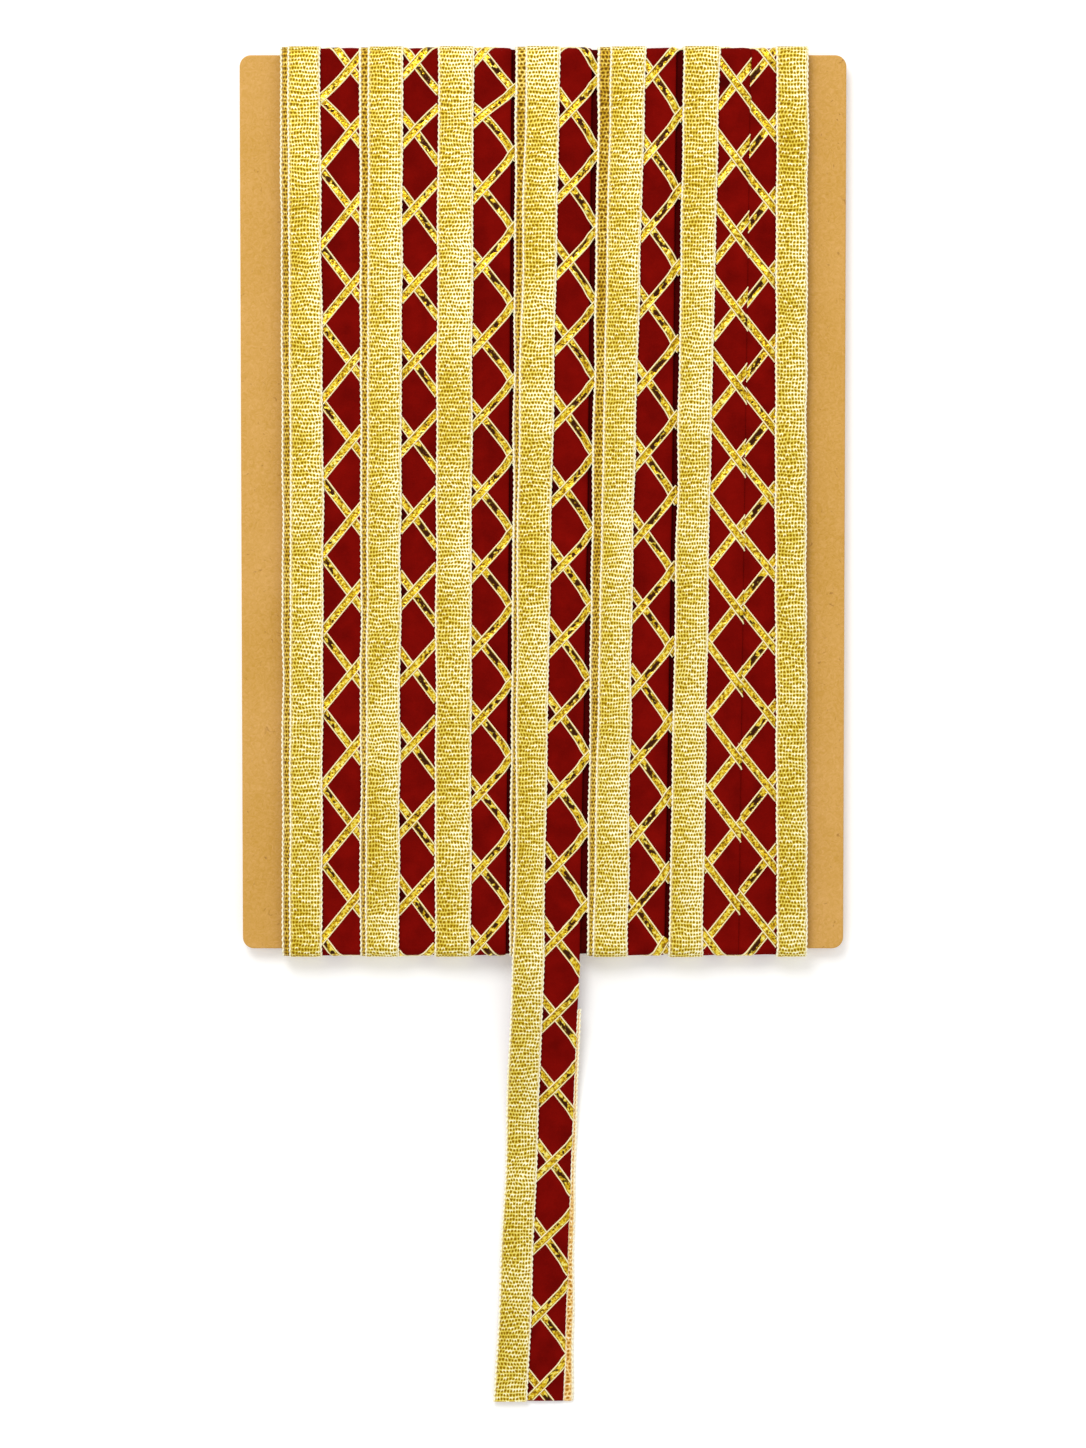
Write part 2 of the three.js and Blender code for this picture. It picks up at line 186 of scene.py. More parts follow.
@dataclass(frozen=True)
class Lattice:
    """The foil lattice of a pass: its row of crossings at head and foot, and its slant.

    Attributes:
        head: x of the row of crossings at the card's head.
        foot: x of that row at the foot.
        crossing: y of one crossing on it.
        pitch: From one crossing to the next.
        side: How far to the side the next row is, half a pitch on.
        skew: How much steeper the ribbons that fall to the right are than those that rise.
        pinch: How far the lattice is pushed together at the head.
        dark: How dark the reflections are that rising and falling ribbons catch, from 0 to 1.
        dark_at: How far along from a crossing they catch them, to the right.
        over: The family that lies on top at the crossings.
    """

    head: float
    foot: float
    crossing: float
    pitch: float
    side: float
    skew: float
    pinch: float = 0.0
    dark: tuple[float, float] = (0.45, 0.9)
    dark_at: float = 4.3
    over: Family = Family.RISING

    def slope(self, family: Family) -> float:
        """How much a family's ribbons rise towards the head for each mm to the right."""
        return family.value * self.pitch / 2 / self.side - self.skew

    def row(self, y: Array) -> Array:
        """x of the row of crossings on the face at height y."""
        return np.interp(y, (-HALF, HALF), (self.foot, self.head))

    def pinched(self, way: Array) -> Array:
        """Ways along the lattice, pushed together where the trim turns over the head."""
        return way + self.pinch * smooth(*PINCH_GROWS, way) * smooth(*PINCH_FADES, way)

    def gloom(self, x: Array, way: Array, row: Array, tape: Array) -> Array:
        """How shaded the cloth is between the tape and the crossings beside it.

        Args:
            x: Places across.
            way: Places along.
            row: x of the row of crossings there.
            tape: x of the tape's right edge there.

        Returns:
            The shade, from 0 to 1.
        """
        turns = (way + self.crossing) / self.pitch
        off = np.abs(turns - np.rint(turns)) * self.pitch
        return smooth(*GLOOM_ACROSS, x - row) * smooth(*GLOOM_ALONG, off) * smooth(*GLOOM_REACH, row - tape)


@dataclass(frozen=True)
class Pass:
    """One pass of trim down the card's face: edges at its head, middle and foot, and its lattice."""

    edges: dict[str, Ends]
    lattice: Lattice

    def at(self, name: str, y: Array) -> Array:
        """x of a named edge on the face at height y."""
        head, middle, foot = self.edges[name]
        return np.interp(y, (-HALF, 0.0, HALF), (foot, middle, head))


def turn(under: Ends, left: Ends, right: Ends, fold: Ends, lattice: Lattice) -> Pass:
    """A turn of trim from its edges, each at the head, middle and foot."""
    return Pass({"under": under, "tape_left": left, "tape_right": right, "fold": fold}, lattice)


TURNS = (
    turn(
        (-64.8, -64.6, -65.0), (-63.0, -62.6, -63.2), (-54.9, -54.3, -55.0), (-44.9, -44.8, -45.2),
        Lattice(-47.4, -47.4, -3.5, 19.07, 7.5, 0.05, 3.5, (0.15, 0.7), -9.2),
    ),
    turn(
        (-45.3, -45.2, -45.6), (-43.1, -43.6, -44.3), (-34.4, -35.1, -35.8), (-25.4, -26.1, -26.6),
        Lattice(-31.5, -32.7, -2.8, 18.94, 7.7, 0.12, 2.3, (0.4, 1.0)),
    ),
    turn(
        (-26.1, -26.8, -27.3), (-25.8, -26.5, -27.0), (-17.0, -17.6, -17.9), (-7.7, -8.4, -9.2),
        Lattice(-14.8, -15.5, 3.0, 18.66, 7.9, 0.07, 4.0, (0.6, 0.95)),
    ),
    turn(
        (-6.8, -7.5, -8.4), (-4.2, -6.4, -7.0), (4.3, 2.2, 0.2), (12.1, 11.1, 9.1),
        Lattice(7.3, 3.4, 3.8, 18.65, 7.65, 0.14, 0.0, (0.7, 0.9)),
    ),
    turn(
        (13.6, 12.1, 10.9), (16.6, 14.5, 12.4), (25.4, 22.5, 21.1), (32.9, 32.0, 30.3),
        Lattice(27.2, 23.1, -6.6, 18.73, 7.3, 0.08, 0.0, (1.0, 0.85)),
    ),
    turn(
        (34.3, 32.8, 31.0), (34.6, 33.1, 31.3), (43.6, 41.3, 39.8), (51.3, 50.0, 48.8),
        Lattice(47.6, 48.0, -7.0, 18.42, 7.1, 0.04, 0.0, (0.2, 0.4), 4.3, Family.FALLING),
    ),
)
TURNED = Pass(
    {
        "ribbon_left": (46.5, 45.5, 44.0),
        "tape_left": (57.5, 57.4, 58.2),
        "tape_right": (65.4, 65.2, 65.8),
    },
    Lattice(55.6, 56.0, 2.3, 18.09, 7.2, 0.0, 1.0, (1.0, 0.2), -5.0, Family.FALLING),
)
FIRST_EDGES = (-64.2, 64.6)
LOOSE_TURN = 3
LEAST_REVEAL = 1.0  # an under tape that shows less than this isn't there
TURN_PITCH = TURNS[1].edges["under"][0] - TURNS[0].edges["under"][0]


@dataclass(frozen=True)
class CardBox:
    """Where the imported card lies, and what follows from it.

    Attributes:
        centre_x: x of its middle in the row frame.
        centre_y: y of its middle there.
        half_length: Half its length.
        underside: Height of its underside.
        face: Height of its face.
        gap: Air between it and the first layer.
        press: Height below which cloth is pressed flat by the surface it rests on.
    """

    centre_x: float
    centre_y: float
    half_length: float
    underside: float
    face: float
    gap: float = 0.3
    press: float = 0.4

    @classmethod
    def from_frame(cls) -> "CardBox":
        """Read the card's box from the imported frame."""
        low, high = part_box("card")
        middle = (low + high) / 2 / MM
        return cls(middle.x, middle.y, (high.y - low.y) / 2 / MM, low.z / MM, high.z / MM)

    def metres(self, x: Array, y: Array, z: Array) -> Array:
        """Points on the card, in mm, as metres in the row frame, pressed flat where they rest."""
        low = self.press
        rest = np.where(z < low, low * np.exp(np.minimum(z - low, 0.0) / low), z)
        return np.stack([x + self.centre_x, y + self.centre_y, rest], axis=-1) * MM


@dataclass(frozen=True)
class Wrap:
    """The way that the trim's layers take round the card."""

    card: CardBox

    def sizes(self, level: Level) -> tuple[float, float, float, float, float]:
        """The sizes of a layer's way round the card.

        Args:
            level: The layer.

        Returns:
            Its reach past the card's middle, top and bottom heights, half its straight, and its nose.
        """
        layer = level.value
        reach = self.card.half_length + self.card.gap + layer.edge
        top = self.card.face + self.card.gap + layer.front
        bottom = self.card.underside - self.card.gap - layer.back
        return reach, top, bottom, reach - layer.radius, top - bottom - 2 * layer.radius

    def nose(self, level: Level) -> float:
        """The way from the middle of the face to the middle of the foot's edge."""
        _, _, _, straight, nose = self.sizes(level)
        return straight + level.value.radius * TAU / 4 + nose / 2

    def at(self, level: Level, way: Array) -> tuple[Array, Array, Array, Array]:
        """A layer's face at each way.

        Args:
            level: The layer.
            way: Where along the trim; negative towards the head.

        Returns:
            y and z of the face there, and y and z of its outward normal.
        """
        _, top, _, straight, nose = self.sizes(level)
        radius = level.value.radius
        quarter = radius * TAU / 4
        half_loop = 2 * self.nose(level)
        way = np.mod(way + half_loop, 2 * half_loop) - half_loop
        end = np.where(way < 0, 1.0, -1.0)
        far = np.abs(way)
        corner_end, nose_end = straight + quarter, straight + quarter + nose
        back_start = nose_end + quarter
        first = np.clip((far - straight) / radius, 0, TAU / 4)
        second = np.clip((far - nose_end) / radius, 0, TAU / 4)
        angle = first + second
        y = np.where(far < back_start, straight + radius * np.sin(angle), straight - (far - back_start))
        y = np.where(far < straight, far, y)
        down = radius * (1 - np.cos(first)) + np.clip(far - corner_end, 0, nose) + radius * np.sin(second)
        return end * y, top - down, end * np.sin(angle), np.cos(angle)

    def height(self, way: Array) -> Array:
        """y at each way, as the ribbon's layer has it, no further than the card's ends."""
        return np.clip(self.at(Level.RIBBON, way)[0], -HALF, HALF)


@dataclass(frozen=True)
class Course:
    """Where a pass and the slant behind it run.

    Attributes:
        wrap: The way round the card.
        here: The pass.
        next_head: x of each edge at the head of the next pass.
        before: How far the trim moved sideways behind the card before this pass.
    """

    wrap: Wrap
    here: Pass
    next_head: dict[str, float]
    before: float = 0.0

    def x(self, name: str, way: Array) -> Array:
        """x of a named edge.

        Args:
            name: The edge.
            way: Where along the trim.

        Returns:
            On the face, the pass's own edge; behind the card, on a slant to the next pass's head.
        """
        y = self.wrap.height(way)
        nose = self.wrap.nose(Level.RIBBON)
        head, _, foot = self.here.edges[name]
        share = (y + HALF) / (2 * HALF)
        behind = foot + (self.next_head[name] - foot) * share
        slid = head + self.before * (y - HALF) / (2 * HALF)
        return np.where(way > nose, behind, np.where(way < -nose, slid, self.here.at(name, y)))

    def row(self, way: Array) -> Array:
        """x of the lattice's row of crossings, which keeps its place beside the tape behind the card."""
        y = self.wrap.height(way)
        return self.here.lattice.row(y) - self.here.at("tape_right", y) + self.x("tape_right", way)


# The loose end's plan


@dataclass(frozen=True)
class LooseCourse:
    """The loose end's way off the face, over the card's foot and along the surface.

    Attributes:
        wrap: The winding it comes from.
        start: y where it starts, on the face.
        edge: y where it has fallen to the card's foot.
        landing: y where it reaches the surface.
        end: y of its cut end.
        thickness: The ribbon's thickness.
        overlap: How far it lies over the end of its turn.
        lap: How far it lies above the turn there.
        dip: How far its start dips below the turn, so that no step shows.
        steps: How many places its way is measured at.
        names: The edges in its rows, after the height.
        rows: For some heights, from start to end, x of those edges.
    """

    wrap: Wrap
    start: float = -103.85
    edge: float = -111.8
    landing: float = -166.0
    end: float = -225.8
    thickness: float = 1.0
    overlap: float = 1.6
    lap: float = 0.04
    dip: float = 0.09
    steps: int = 400
    names: tuple[str, ...] = ("tape_left", "tape_right", "fold", "back_tape")
    rows: tuple[tuple[float, float, float, float, float], ...] = (
        (-103.85, -6.96, 0.32, 9.35, 9.9),
        (-113.0, -7.7, 0.4, 9.2, 9.9),
        (-141.0, -8.75, -0.65, 8.1, 9.0),
        (-169.5, -9.7, -1.7, 7.0, 8.1),
        (-197.5, -11.0, -2.75, 6.1, 7.8),
        (-225.8, -12.4, -3.9, 5.2, 7.6),
    )

    def table(self) -> Points:
        """Measure the loose end's way.

        Returns:
            Way, y and height of the underside at close steps along it.
        """
        y = np.linspace(self.start, self.end, self.steps)
        top = self.wrap.card.face + self.wrap.card.gap + Level.FIRST.value.front + self.wrap.card.gap
        turn_top = self.wrap.sizes(Level.RIBBON)[1] - self.thickness + self.lap
        joined = self.start - self.overlap
        z = top * smooth(self.landing, self.edge, y) + (turn_top - top) * smooth(self.edge, joined, y)
        z = z - self.dip * smooth(joined, self.start, y)
        steps = np.hypot(np.diff(y), np.diff(z))
        return np.concatenate([[0.0], np.cumsum(steps)]) - self.start, y, z

    def x(self, name: str, way: Array) -> Array:
        """x of a named edge.

        Args:
            name: The edge.
            way: Where along the loose end.

        Returns:
            x there.
        """
        ways, ys, _ = self.table()
        y = np.interp(way, ways, ys)
        rows = np.array(self.rows[::-1])
        return np.interp(y, rows[:, 0], rows[:, 1 + self.names.index(name)])

    def last_way(self) -> float:
        """The way of the cut end."""
        return float(self.table()[0][-1])

    def at(self, lift: float, way: Array) -> tuple[Array, Array, Array, Array]:
        """A face of the loose end at each way.

        Args:
            lift: Its height above the underside.
            way: Where along the loose end.

        Returns:
            y and z of the face there, and y and z of its normal.
        """
        ways, ys, zs = self.table()
        slope = np.gradient(zs, ways)
        run = np.gradient(ys, ways)
        y, z = np.interp(way, ways, ys), np.interp(way, ways, zs)
        dy, dz = np.interp(way, ways, run), np.interp(way, ways, slope)
        length = np.hypot(dy, dz)
        return y, z + lift, dz / length, -dy / length


# Mesh making


class Piece:
    """A mesh under construction, made of closed strips."""

    def __init__(self, name: str, attribute: str) -> None:
        """Start an empty piece.

        Args:
            name: The piece's name in the scene.
            attribute: The vector attribute that its finish reads.
        """
        self.name = name
        self.mesh = bmesh.new()
        self.layer = self.mesh.verts.layers.float_vector.new(attribute)

    def strip(self, around: int, rows: int, place: Callable[[Array, Array], tuple[Array, Array]]) -> None:
        """Add a closed strip: a grid whose long sides meet and whose ends are filled.

        Args:
            around: How many points the strip's cross-section has.
            rows: How many cross-sections there are.
            place: Gives points in metres and attribute values for section and row numbers.
        """
        made = bmesh.ops.create_grid(self.mesh, x_segments=around, y_segments=rows - 1, size=0.5)
        verts = made["verts"]
        grid = np.array([vert.co[:2] for vert in verts])
        section = np.rint((grid[:, 0] + 0.5) * around).astype(int) % around
        row = np.rint((grid[:, 1] + 0.5) * (rows - 1)).astype(int)
        points, values = place(section, row)
        for vert, point, value in zip(verts, points.tolist(), values.tolist()):
            vert.co = point
            vert[self.layer] = value
        seam = [vert for vert, x in zip(verts, grid[:, 0]) if abs(x) > 0.5 - 0.5 / around]
        bmesh.ops.remove_doubles(self.mesh, verts=seam, dist=1e-7)
        open_edges = [edge for edge in self.mesh.edges if edge.is_boundary]
        ends = bmesh.ops.holes_fill(self.mesh, edges=open_edges, sides=0)["faces"]
        for edge in {edge for face in ends for edge in face.edges}:
            edge.smooth = False

    def finish(self, material: Material) -> Thing:
        """Turn the mesh into an object with its finish, faces outwards and smooth.

        Args:
            material: The finish.

        Returns:
            The new object, at the origin.
        """
        bmesh.ops.recalc_face_normals(self.mesh, faces=self.mesh.faces)
        data = bpy.data.meshes.new(self.name)
        self.mesh.to_mesh(data)
        self.mesh.free()
        data.materials.append(material)
        data.polygons.foreach_set("use_smooth", [True] * len(data.polygons))
        made = bpy.data.objects.new(self.name, data)
        bpy.context.scene.collection.objects.link(made)
        LOG.info("%s: %d faces", self.name, len(data.polygons))
        return made


@dataclass(frozen=True)
class Bed:
    """What a tape or ribbon lies along.

    Attributes:
        card: Turns sizes on the card into metres.
        face: Its face at each way.
        left: x of its left edge.
        right: x of its right edge, which is a ribbon's fold.
    """

    card: CardBox
    face: Face
    left: Edge
    right: Edge


@dataclass(frozen=True)
class TapeWeave:
    """Woven gold tape: a net of threads with scalloped selvedges.

    Attributes:
        cell: Width of a mesh of the weave.
        row: Length of a mesh of the weave.
        depth: How deep the meshes are.
        slip: How far the meshes shift across, in meshes.
        drift: How far their rows shift along, in rows.
        crown: Height of the net.
        billow: How uneven that height is.
        selvedge: Width of each selvedge.
        cord: Lowest height of the selvedge, and how far its cord rises from there.
        scallop: Length of a scallop.
        bulge: How far a scallop stands out to the side.
        sway: How far an edge wanders to the side.
        thickness: Thickness of the tape.
        per_cell: How many points across there are to a mesh, on average.
        bottom: How many points across there are below.
    """

    cell: float = 0.74
    row: float = 0.99
    depth: float = 0.055
    slip: float = 0.30
    drift: float = 0.15
    crown: float = 0.10
    billow: float = 0.05
    selvedge: float = 0.68
    cord: tuple[float, float] = (-0.16, 0.26)
    scallop: float = 1.42
    bulge: float = 0.11
    sway: float = 0.10
    thickness: float = 0.85
    per_cell: float = 2.5
    bottom: int = 3

    def build(self, name: str, finish: Material, bed: Bed, lengths: list[Array], seed: int) -> Thing:
        """Make a piece of tape.

        Args:
            name: The piece's name.
            finish: Its finish.
            bed: What it lies along.
            lengths: For each length of it, where its rows of points lie.
            seed: Which unevenness it has.

        Returns:
            The piece.
        """
        piece = Piece(name, "weave")
        for ways in lengths:
            self.add(piece, bed, ways, seed)
        return piece.finish(finish)

    def add(self, piece: Piece, bed: Bed, ways: Array, seed: int) -> None:
        """Add a length of tape to a piece.

        Args:
            piece: The piece it becomes part of.
            bed: What it lies along.
            ways: Where its rows of points lie.
            seed: Which unevenness it has.
        """
        left, right = bed.left(ways), bed.right(ways)
        width = float(np.mean(right - left))
        cells = max(2, round(width / self.cell))
        top = max(6, round(width / self.cell * self.per_cell))
        across = np.concatenate([np.linspace(0, 1, top + 1), np.linspace(1, 0, self.bottom + 1)])
        under = np.concatenate([np.zeros(top + 1), np.ones(self.bottom + 1)])
        drift = Ripple(seed, 9.0, 14.0)
        slip = Ripple(seed + 1, 30.0, 9.0)
        wander = Ripple(seed + 2, 40.0, 30.0)

        def place(section: Array, row: Array) -> tuple[Array, Array]:
            """Place points of the tape.

            Args:
                section: Their numbers in the cross-section.
                row: The numbers of their rows.

            Returns:
                The points, and each one's place in the weave and how far it is in the selvedge.
            """
            way, share, low = ways[row], across[section], under[section]
            wide = (right - left)[row]
            from_left = share * wide
            inset = np.minimum(from_left, wide - from_left)
            side = np.where(share < 0.5, -1.0, 1.0)
            edge = smooth(self.selvedge, self.selvedge * 0.6, inset)
            u = share * cells + self.slip * slip(from_left, way)
            v = way / self.row + self.drift * drift(from_left, way)
            mesh = (0.5 + 0.5 * np.cos(TAU * v)) * (0.7 + 0.3 * np.cos(TAU * u))
            beat = np.cos(TAU * way / self.scallop + side * 0.9 + 0.8 * wander(side, way))
            cord = np.sqrt(np.clip(1 - ((inset / self.selvedge - 0.45) / 0.55) ** 2, 0, 1))
            foot, rise = self.cord
            body = self.crown - self.depth * mesh + self.billow * wander(from_left, way)
            relief = body * (1 - edge) + edge * (foot + rise * cord * (0.8 + 0.2 * beat))
            out = side * (self.bulge * beat + self.sway * wander(side * 7.0, way)) * smooth(1.2, 0.2, inset)
            lift = np.where(low > 0, -self.thickness, relief)
            y, z, ny, nz = bed.face(way)
            x = left[row] + from_left + out
            values = np.stack([u, v, edge], axis=-1)
            return bed.card.metres(x, y + ny * lift, z + nz * lift), values

        piece.strip(len(across), len(ways), place)


@dataclass(frozen=True)
class RibbonCloth:
    """The red ribbon, folded lengthwise, with its fold on the right.

    Attributes:
        radius: Radius of the fold, half the ribbon's thickness.
        crown: How much it swells between the tape and the fold.
        crease: Height of its creases.
        step: Spacing of the points across.
        arc: How many points there are round the fold.
        seed: Which creases it has.
    """

    radius: float = 0.5
    crown: float = 0.12
    crease: float = 0.07
    step: float = 0.8
    arc: int = 5
    seed: int = 40

    def relief(self, inset: Array, way: Array) -> Array:
        """Height of the cloth's swell and creases, inset from the fold."""
        soft = Ripple(self.seed, 9.0, 16.0)
        fine = Ripple(self.seed + 1, 5.0, 5.0)
        swell = self.crown * smooth(0.0, 3.0, inset) * smooth(11.0, 6.0, inset)
        return swell + self.crease * smooth(0.0, 1.0, inset) * (soft(inset, way) + 0.35 * fine(inset, way))

    def over(self, bed: Bed, x: Array, way: Array, lift: Array) -> Points:
        """Points on or above the ribbon, following it round its fold.

        Args:
            bed: What the ribbon lies along.
            x: Places across, measured along the cloth.
            way: Places along.
            lift: Heights above the cloth.

        Returns:
            x, y and z of the points.
        """
        turn_at = bed.right(way) - self.radius
        angle = np.clip((x - turn_at) / self.radius, 0, TAU / 2)
        flat = np.minimum(x, turn_at)
        high = self.relief(bed.right(way) - x, way) * (angle <= 0) + lift
        y, z, ny, nz = bed.face(way)
        out = (self.radius + high) * np.sin(angle)
        up = np.where(angle > 0, (self.radius + high) * np.cos(angle) - self.radius, high)
        return flat + out, y + ny * up, z + nz * up

    def past(self, bed: Bed, x: Array, way: Array, lift: Array, sink: float) -> Points:
        """Points above the ribbon that run straight on past its fold, and sink there.

        Args:
            bed: What the ribbon lies along.
            x: Places across.
            way: Places along.
            lift: Heights above the cloth.
            sink: How much they sink past the fold.

        Returns:
            x, y and z of the points.
        """
        inset = bed.right(way) - x
        y, z, ny, nz = bed.face(way)
        high = self.relief(np.maximum(inset, 0.0), way) + lift - sink * smooth(0.6, -1.0, inset)
        return x, y + ny * high, z + nz * high

    def build(
        self, name: str, finish: Material, bed: Bed, lengths: list[Array], gloom: Shade | None = None
    ) -> Thing:
        """Make a piece of ribbon.

        Args:
            name: The piece's name.
            finish: Its finish.
            bed: What it lies along.
            lengths: For each length of it, where its rows of points lie.
            gloom: How shaded it is, from 0 to 1.

        Returns:
            The piece.
        """
        piece = Piece(name, "cloth")
        for ways in lengths:
            self.add(piece, bed, ways, gloom or (lambda x, way: x * 0))
        return piece.finish(finish)

    def add(self, piece: Piece, bed: Bed, ways: Array, gloom: Shade) -> None:
        """Add a length of ribbon to a piece.

        Args:
            piece: The piece it becomes part of.
            bed: What it lies along.
            ways: Where its rows of points lie.
            gloom: How shaded it is, from 0 to 1.
        """
        width = float(np.mean(bed.right(ways) - bed.left(ways)))
        flat = max(4, round(width / self.step))
        share = np.concatenate([np.linspace(0, 1, flat + 1), np.ones(self.arc), [0.0]])
        angle = np.concatenate([np.zeros(flat + 1), np.linspace(0, math.pi, self.arc + 1)[1:], [math.pi]])

        def place(section: Array, row: Array) -> tuple[Array, Array]:
            """Place points of the ribbon.

            Args:
                section: Their numbers in the cross-section.
                row: The numbers of their rows.

            Returns:
                The points, and each one's inset from the fold, way and shade.
            """
            way, part, bend = ways[row], share[section], angle[section]
            start, end = bed.left(way), bed.right(way) - self.radius
            x = start + part * (end - start)
            inset = bed.right(way) - x
            high = self.relief(inset, way) * (bend <= 0)
            y, z, ny, nz = bed.face(way)
            up = np.where(bend > 0, self.radius * (np.cos(bend) - 1), high)
            x = x + self.radius * np.sin(bend)
            values = np.stack([inset, way, gloom(x, way)], axis=-1)
            return bed.card.metres(x, y + ny * up, z + nz * up), values

        piece.strip(len(share), len(ways), place)


@dataclass(frozen=True)
class LatticeLines:
    """Where a lattice lies along and across its ribbon.

    Attributes:
        card: Turns sizes on the card into metres.
        lattice: Its slant and crossings.
        surface: Gives points for places across, places along and heights above the cloth.
        row: x of the row of crossings at each way.
        left: x where ribbons start.
        right: x where they end.
        fold: x of the ribbon's fold, where they bend.
        bend: How far the ribbons bend away as they reach the fold.
        fine_to: How far from the middle of the face ribbons have close points.
        spread: How far past the ends of a length a crossing may be whose ribbons still show.
    """

    card: CardBox
    lattice: Lattice
    surface: Surface
    row: Edge
    left: Edge
    right: Edge
    fold: Edge
    bend: float = 0.0
    fine_to: float = 118.0
    spread: float = 8.0

    def crossings(self, span: Span) -> list[float]:
        """The ways of all crossings whose ribbons show in a length.

        Args:
            span: The length's first and last way.

        Returns:
            Ways a pitch apart.
        """
        phase, pitch = -self.lattice.crossing, self.lattice.pitch
        first = math.ceil((span[0] - self.spread - phase) / pitch)
        last = math.floor((span[1] + self.spread - phase) / pitch)
        return [phase + n * pitch for n in range(first, last + 1)]


@dataclass(frozen=True)
class FoilRibbon:
    """The narrow foil ribbons of the lattice, with a raised cream thread along each edge.

    Attributes:
        half_width: Half a ribbon's width.
        section: Places across, as a share of the half width, with their heights.
        over_lift: How much a ribbon rises where it passes over another.
        over_length: How far from the crossing that rise reaches.
        step: Spacing of the points along, on the face.
        back_step: Their spacing behind the card.
        tuck: How far a ribbon goes in under the tape.
        wrap_round: How far it goes round the fold.
        run_on: How far it runs on under the next turn's tape, where it doesn't go round.
        sink: How much it sinks as it runs on.
        end_sink: How much it sinks where its length of trim ends.
        bend_from: How far from its end the bend starts.
        dark_half: Half the length of a dark reflection.
        dark_core: Share of that half that is fully dark.
        shift: How much the foil's dents shift from one crossing to the next, for each mm.
    """

    half_width: float = 1.06
    section: tuple[tuple[float, float], ...] = (
        (-1.0, -0.08),
        (-1.0, 0.10),
        (-0.86, 0.25),
        (-0.70, 0.15),
        (-0.35, 0.15),
        (0.0, 0.12),
        (0.35, 0.15),
        (0.70, 0.15),
        (0.86, 0.25),
        (1.0, 0.10),
        (1.0, -0.08),
    )
    over_lift: float = 0.22
    over_length: float = 1.5
    step: float = 0.45
    back_step: float = 1.5
    tuck: float = 0.6
    wrap_round: float = 0.9
    run_on: float = 0.7
    sink: float = 0.45
    end_sink: float = 0.6
    bend_from: float = 1.7
    dark_half: float = 3.4
    dark_core: float = 0.4
    shift: float = 3.0

    def build(self, name: str, finish: Material, lines: LatticeLines, spans: list[Span]) -> Thing:
        """Make all the foil ribbons of one lattice.

        Args:
            name: The piece's name.
            finish: Its finish.
            lines: Where the lattice lies.
            spans: First and last way of each length of it.

        Returns:
            The piece.
        """
        piece = Piece(name, "foil")
        for span in spans:
            for crossing in lines.crossings(span):
                for family in Family:
                    self.add(piece, lines, span, crossing, family)
        return piece.finish(finish)

    def add(self, piece: Piece, lines: LatticeLines, span: Span, crossing: float, family: Family) -> None:
        """Add one foil ribbon through a crossing.

        Args:
            piece: The piece it becomes part of.
            lines: Where the lattice lies.
            span: First and last way of its length of trim.
            crossing: The way of its crossing.
            family: Which way it slants.
        """
        lattice = lines.lattice
        across = np.array([point[0] for point in self.section]) * self.half_width
        heights = np.array([point[1] for point in self.section])
        here = np.array([crossing])
        rise = lattice.slope(family)
        row = float(lines.row(here)[0])
        first, last = float(lines.left(here)[0]), float(lines.right(here)[0])
        bend_at = float(lines.fold(here)[0])
        length = (last - first) * math.hypot(1, rise)
        step = self.step if abs(crossing) < lines.fine_to else self.back_step
        shares = spaced(first, last, step * (last - first) / length)
        lean = float(lines.row(here + 1.0)[0]) - row
        long_x, long_way = 1 / math.hypot(1, rise), -rise / math.hypot(1, rise)
        above = family is lattice.over
        darkness = lattice.dark[0 if family is Family.RISING else 1]

        def place(section: Array, row_number: Array) -> tuple[Array, Array]:
            """Place points of the foil ribbon.

            Args:
                section: Their numbers in the cross-section.
                row_number: The numbers of their rows.

            Returns:
                The points, and each one's place along and across and how dark a reflection it has.
            """
            x, aside = shares[row_number], across[section]
            near_end = np.clip((x - bend_at) / self.bend_from + 1, 0, 1)
            way = crossing - rise * (x - row) - family.value * lines.bend * near_end**2
            bump = sum(np.exp(-(((x - row - k * lattice.side) / self.over_length) ** 2)) for k in (-1, 0, 1))
            lift = heights[section] + (self.over_lift * bump if above else 0.0)
            way = lattice.pinched(way)
            side_x, side_way = x - aside * long_way, way + aside * long_x
            lift = lift - self.end_sink * ((side_way < span[0]) | (side_way > span[1]))
            side_way = np.clip(side_way, *span)
            along = (x - row) * math.hypot(1, rise)
            dark = smooth(self.dark_half, self.dark_half * self.dark_core, np.abs(along - lattice.dark_at))
            dark = dark * darkness
            points = lines.surface(side_x + lean * (side_way - crossing), side_way, lift)
            values = np.stack([along + crossing * self.shift, aside / self.half_width, dark], axis=-1)
            return lines.card.metres(*points), values

        piece.strip(len(across), len(shares), place)


# Finishes


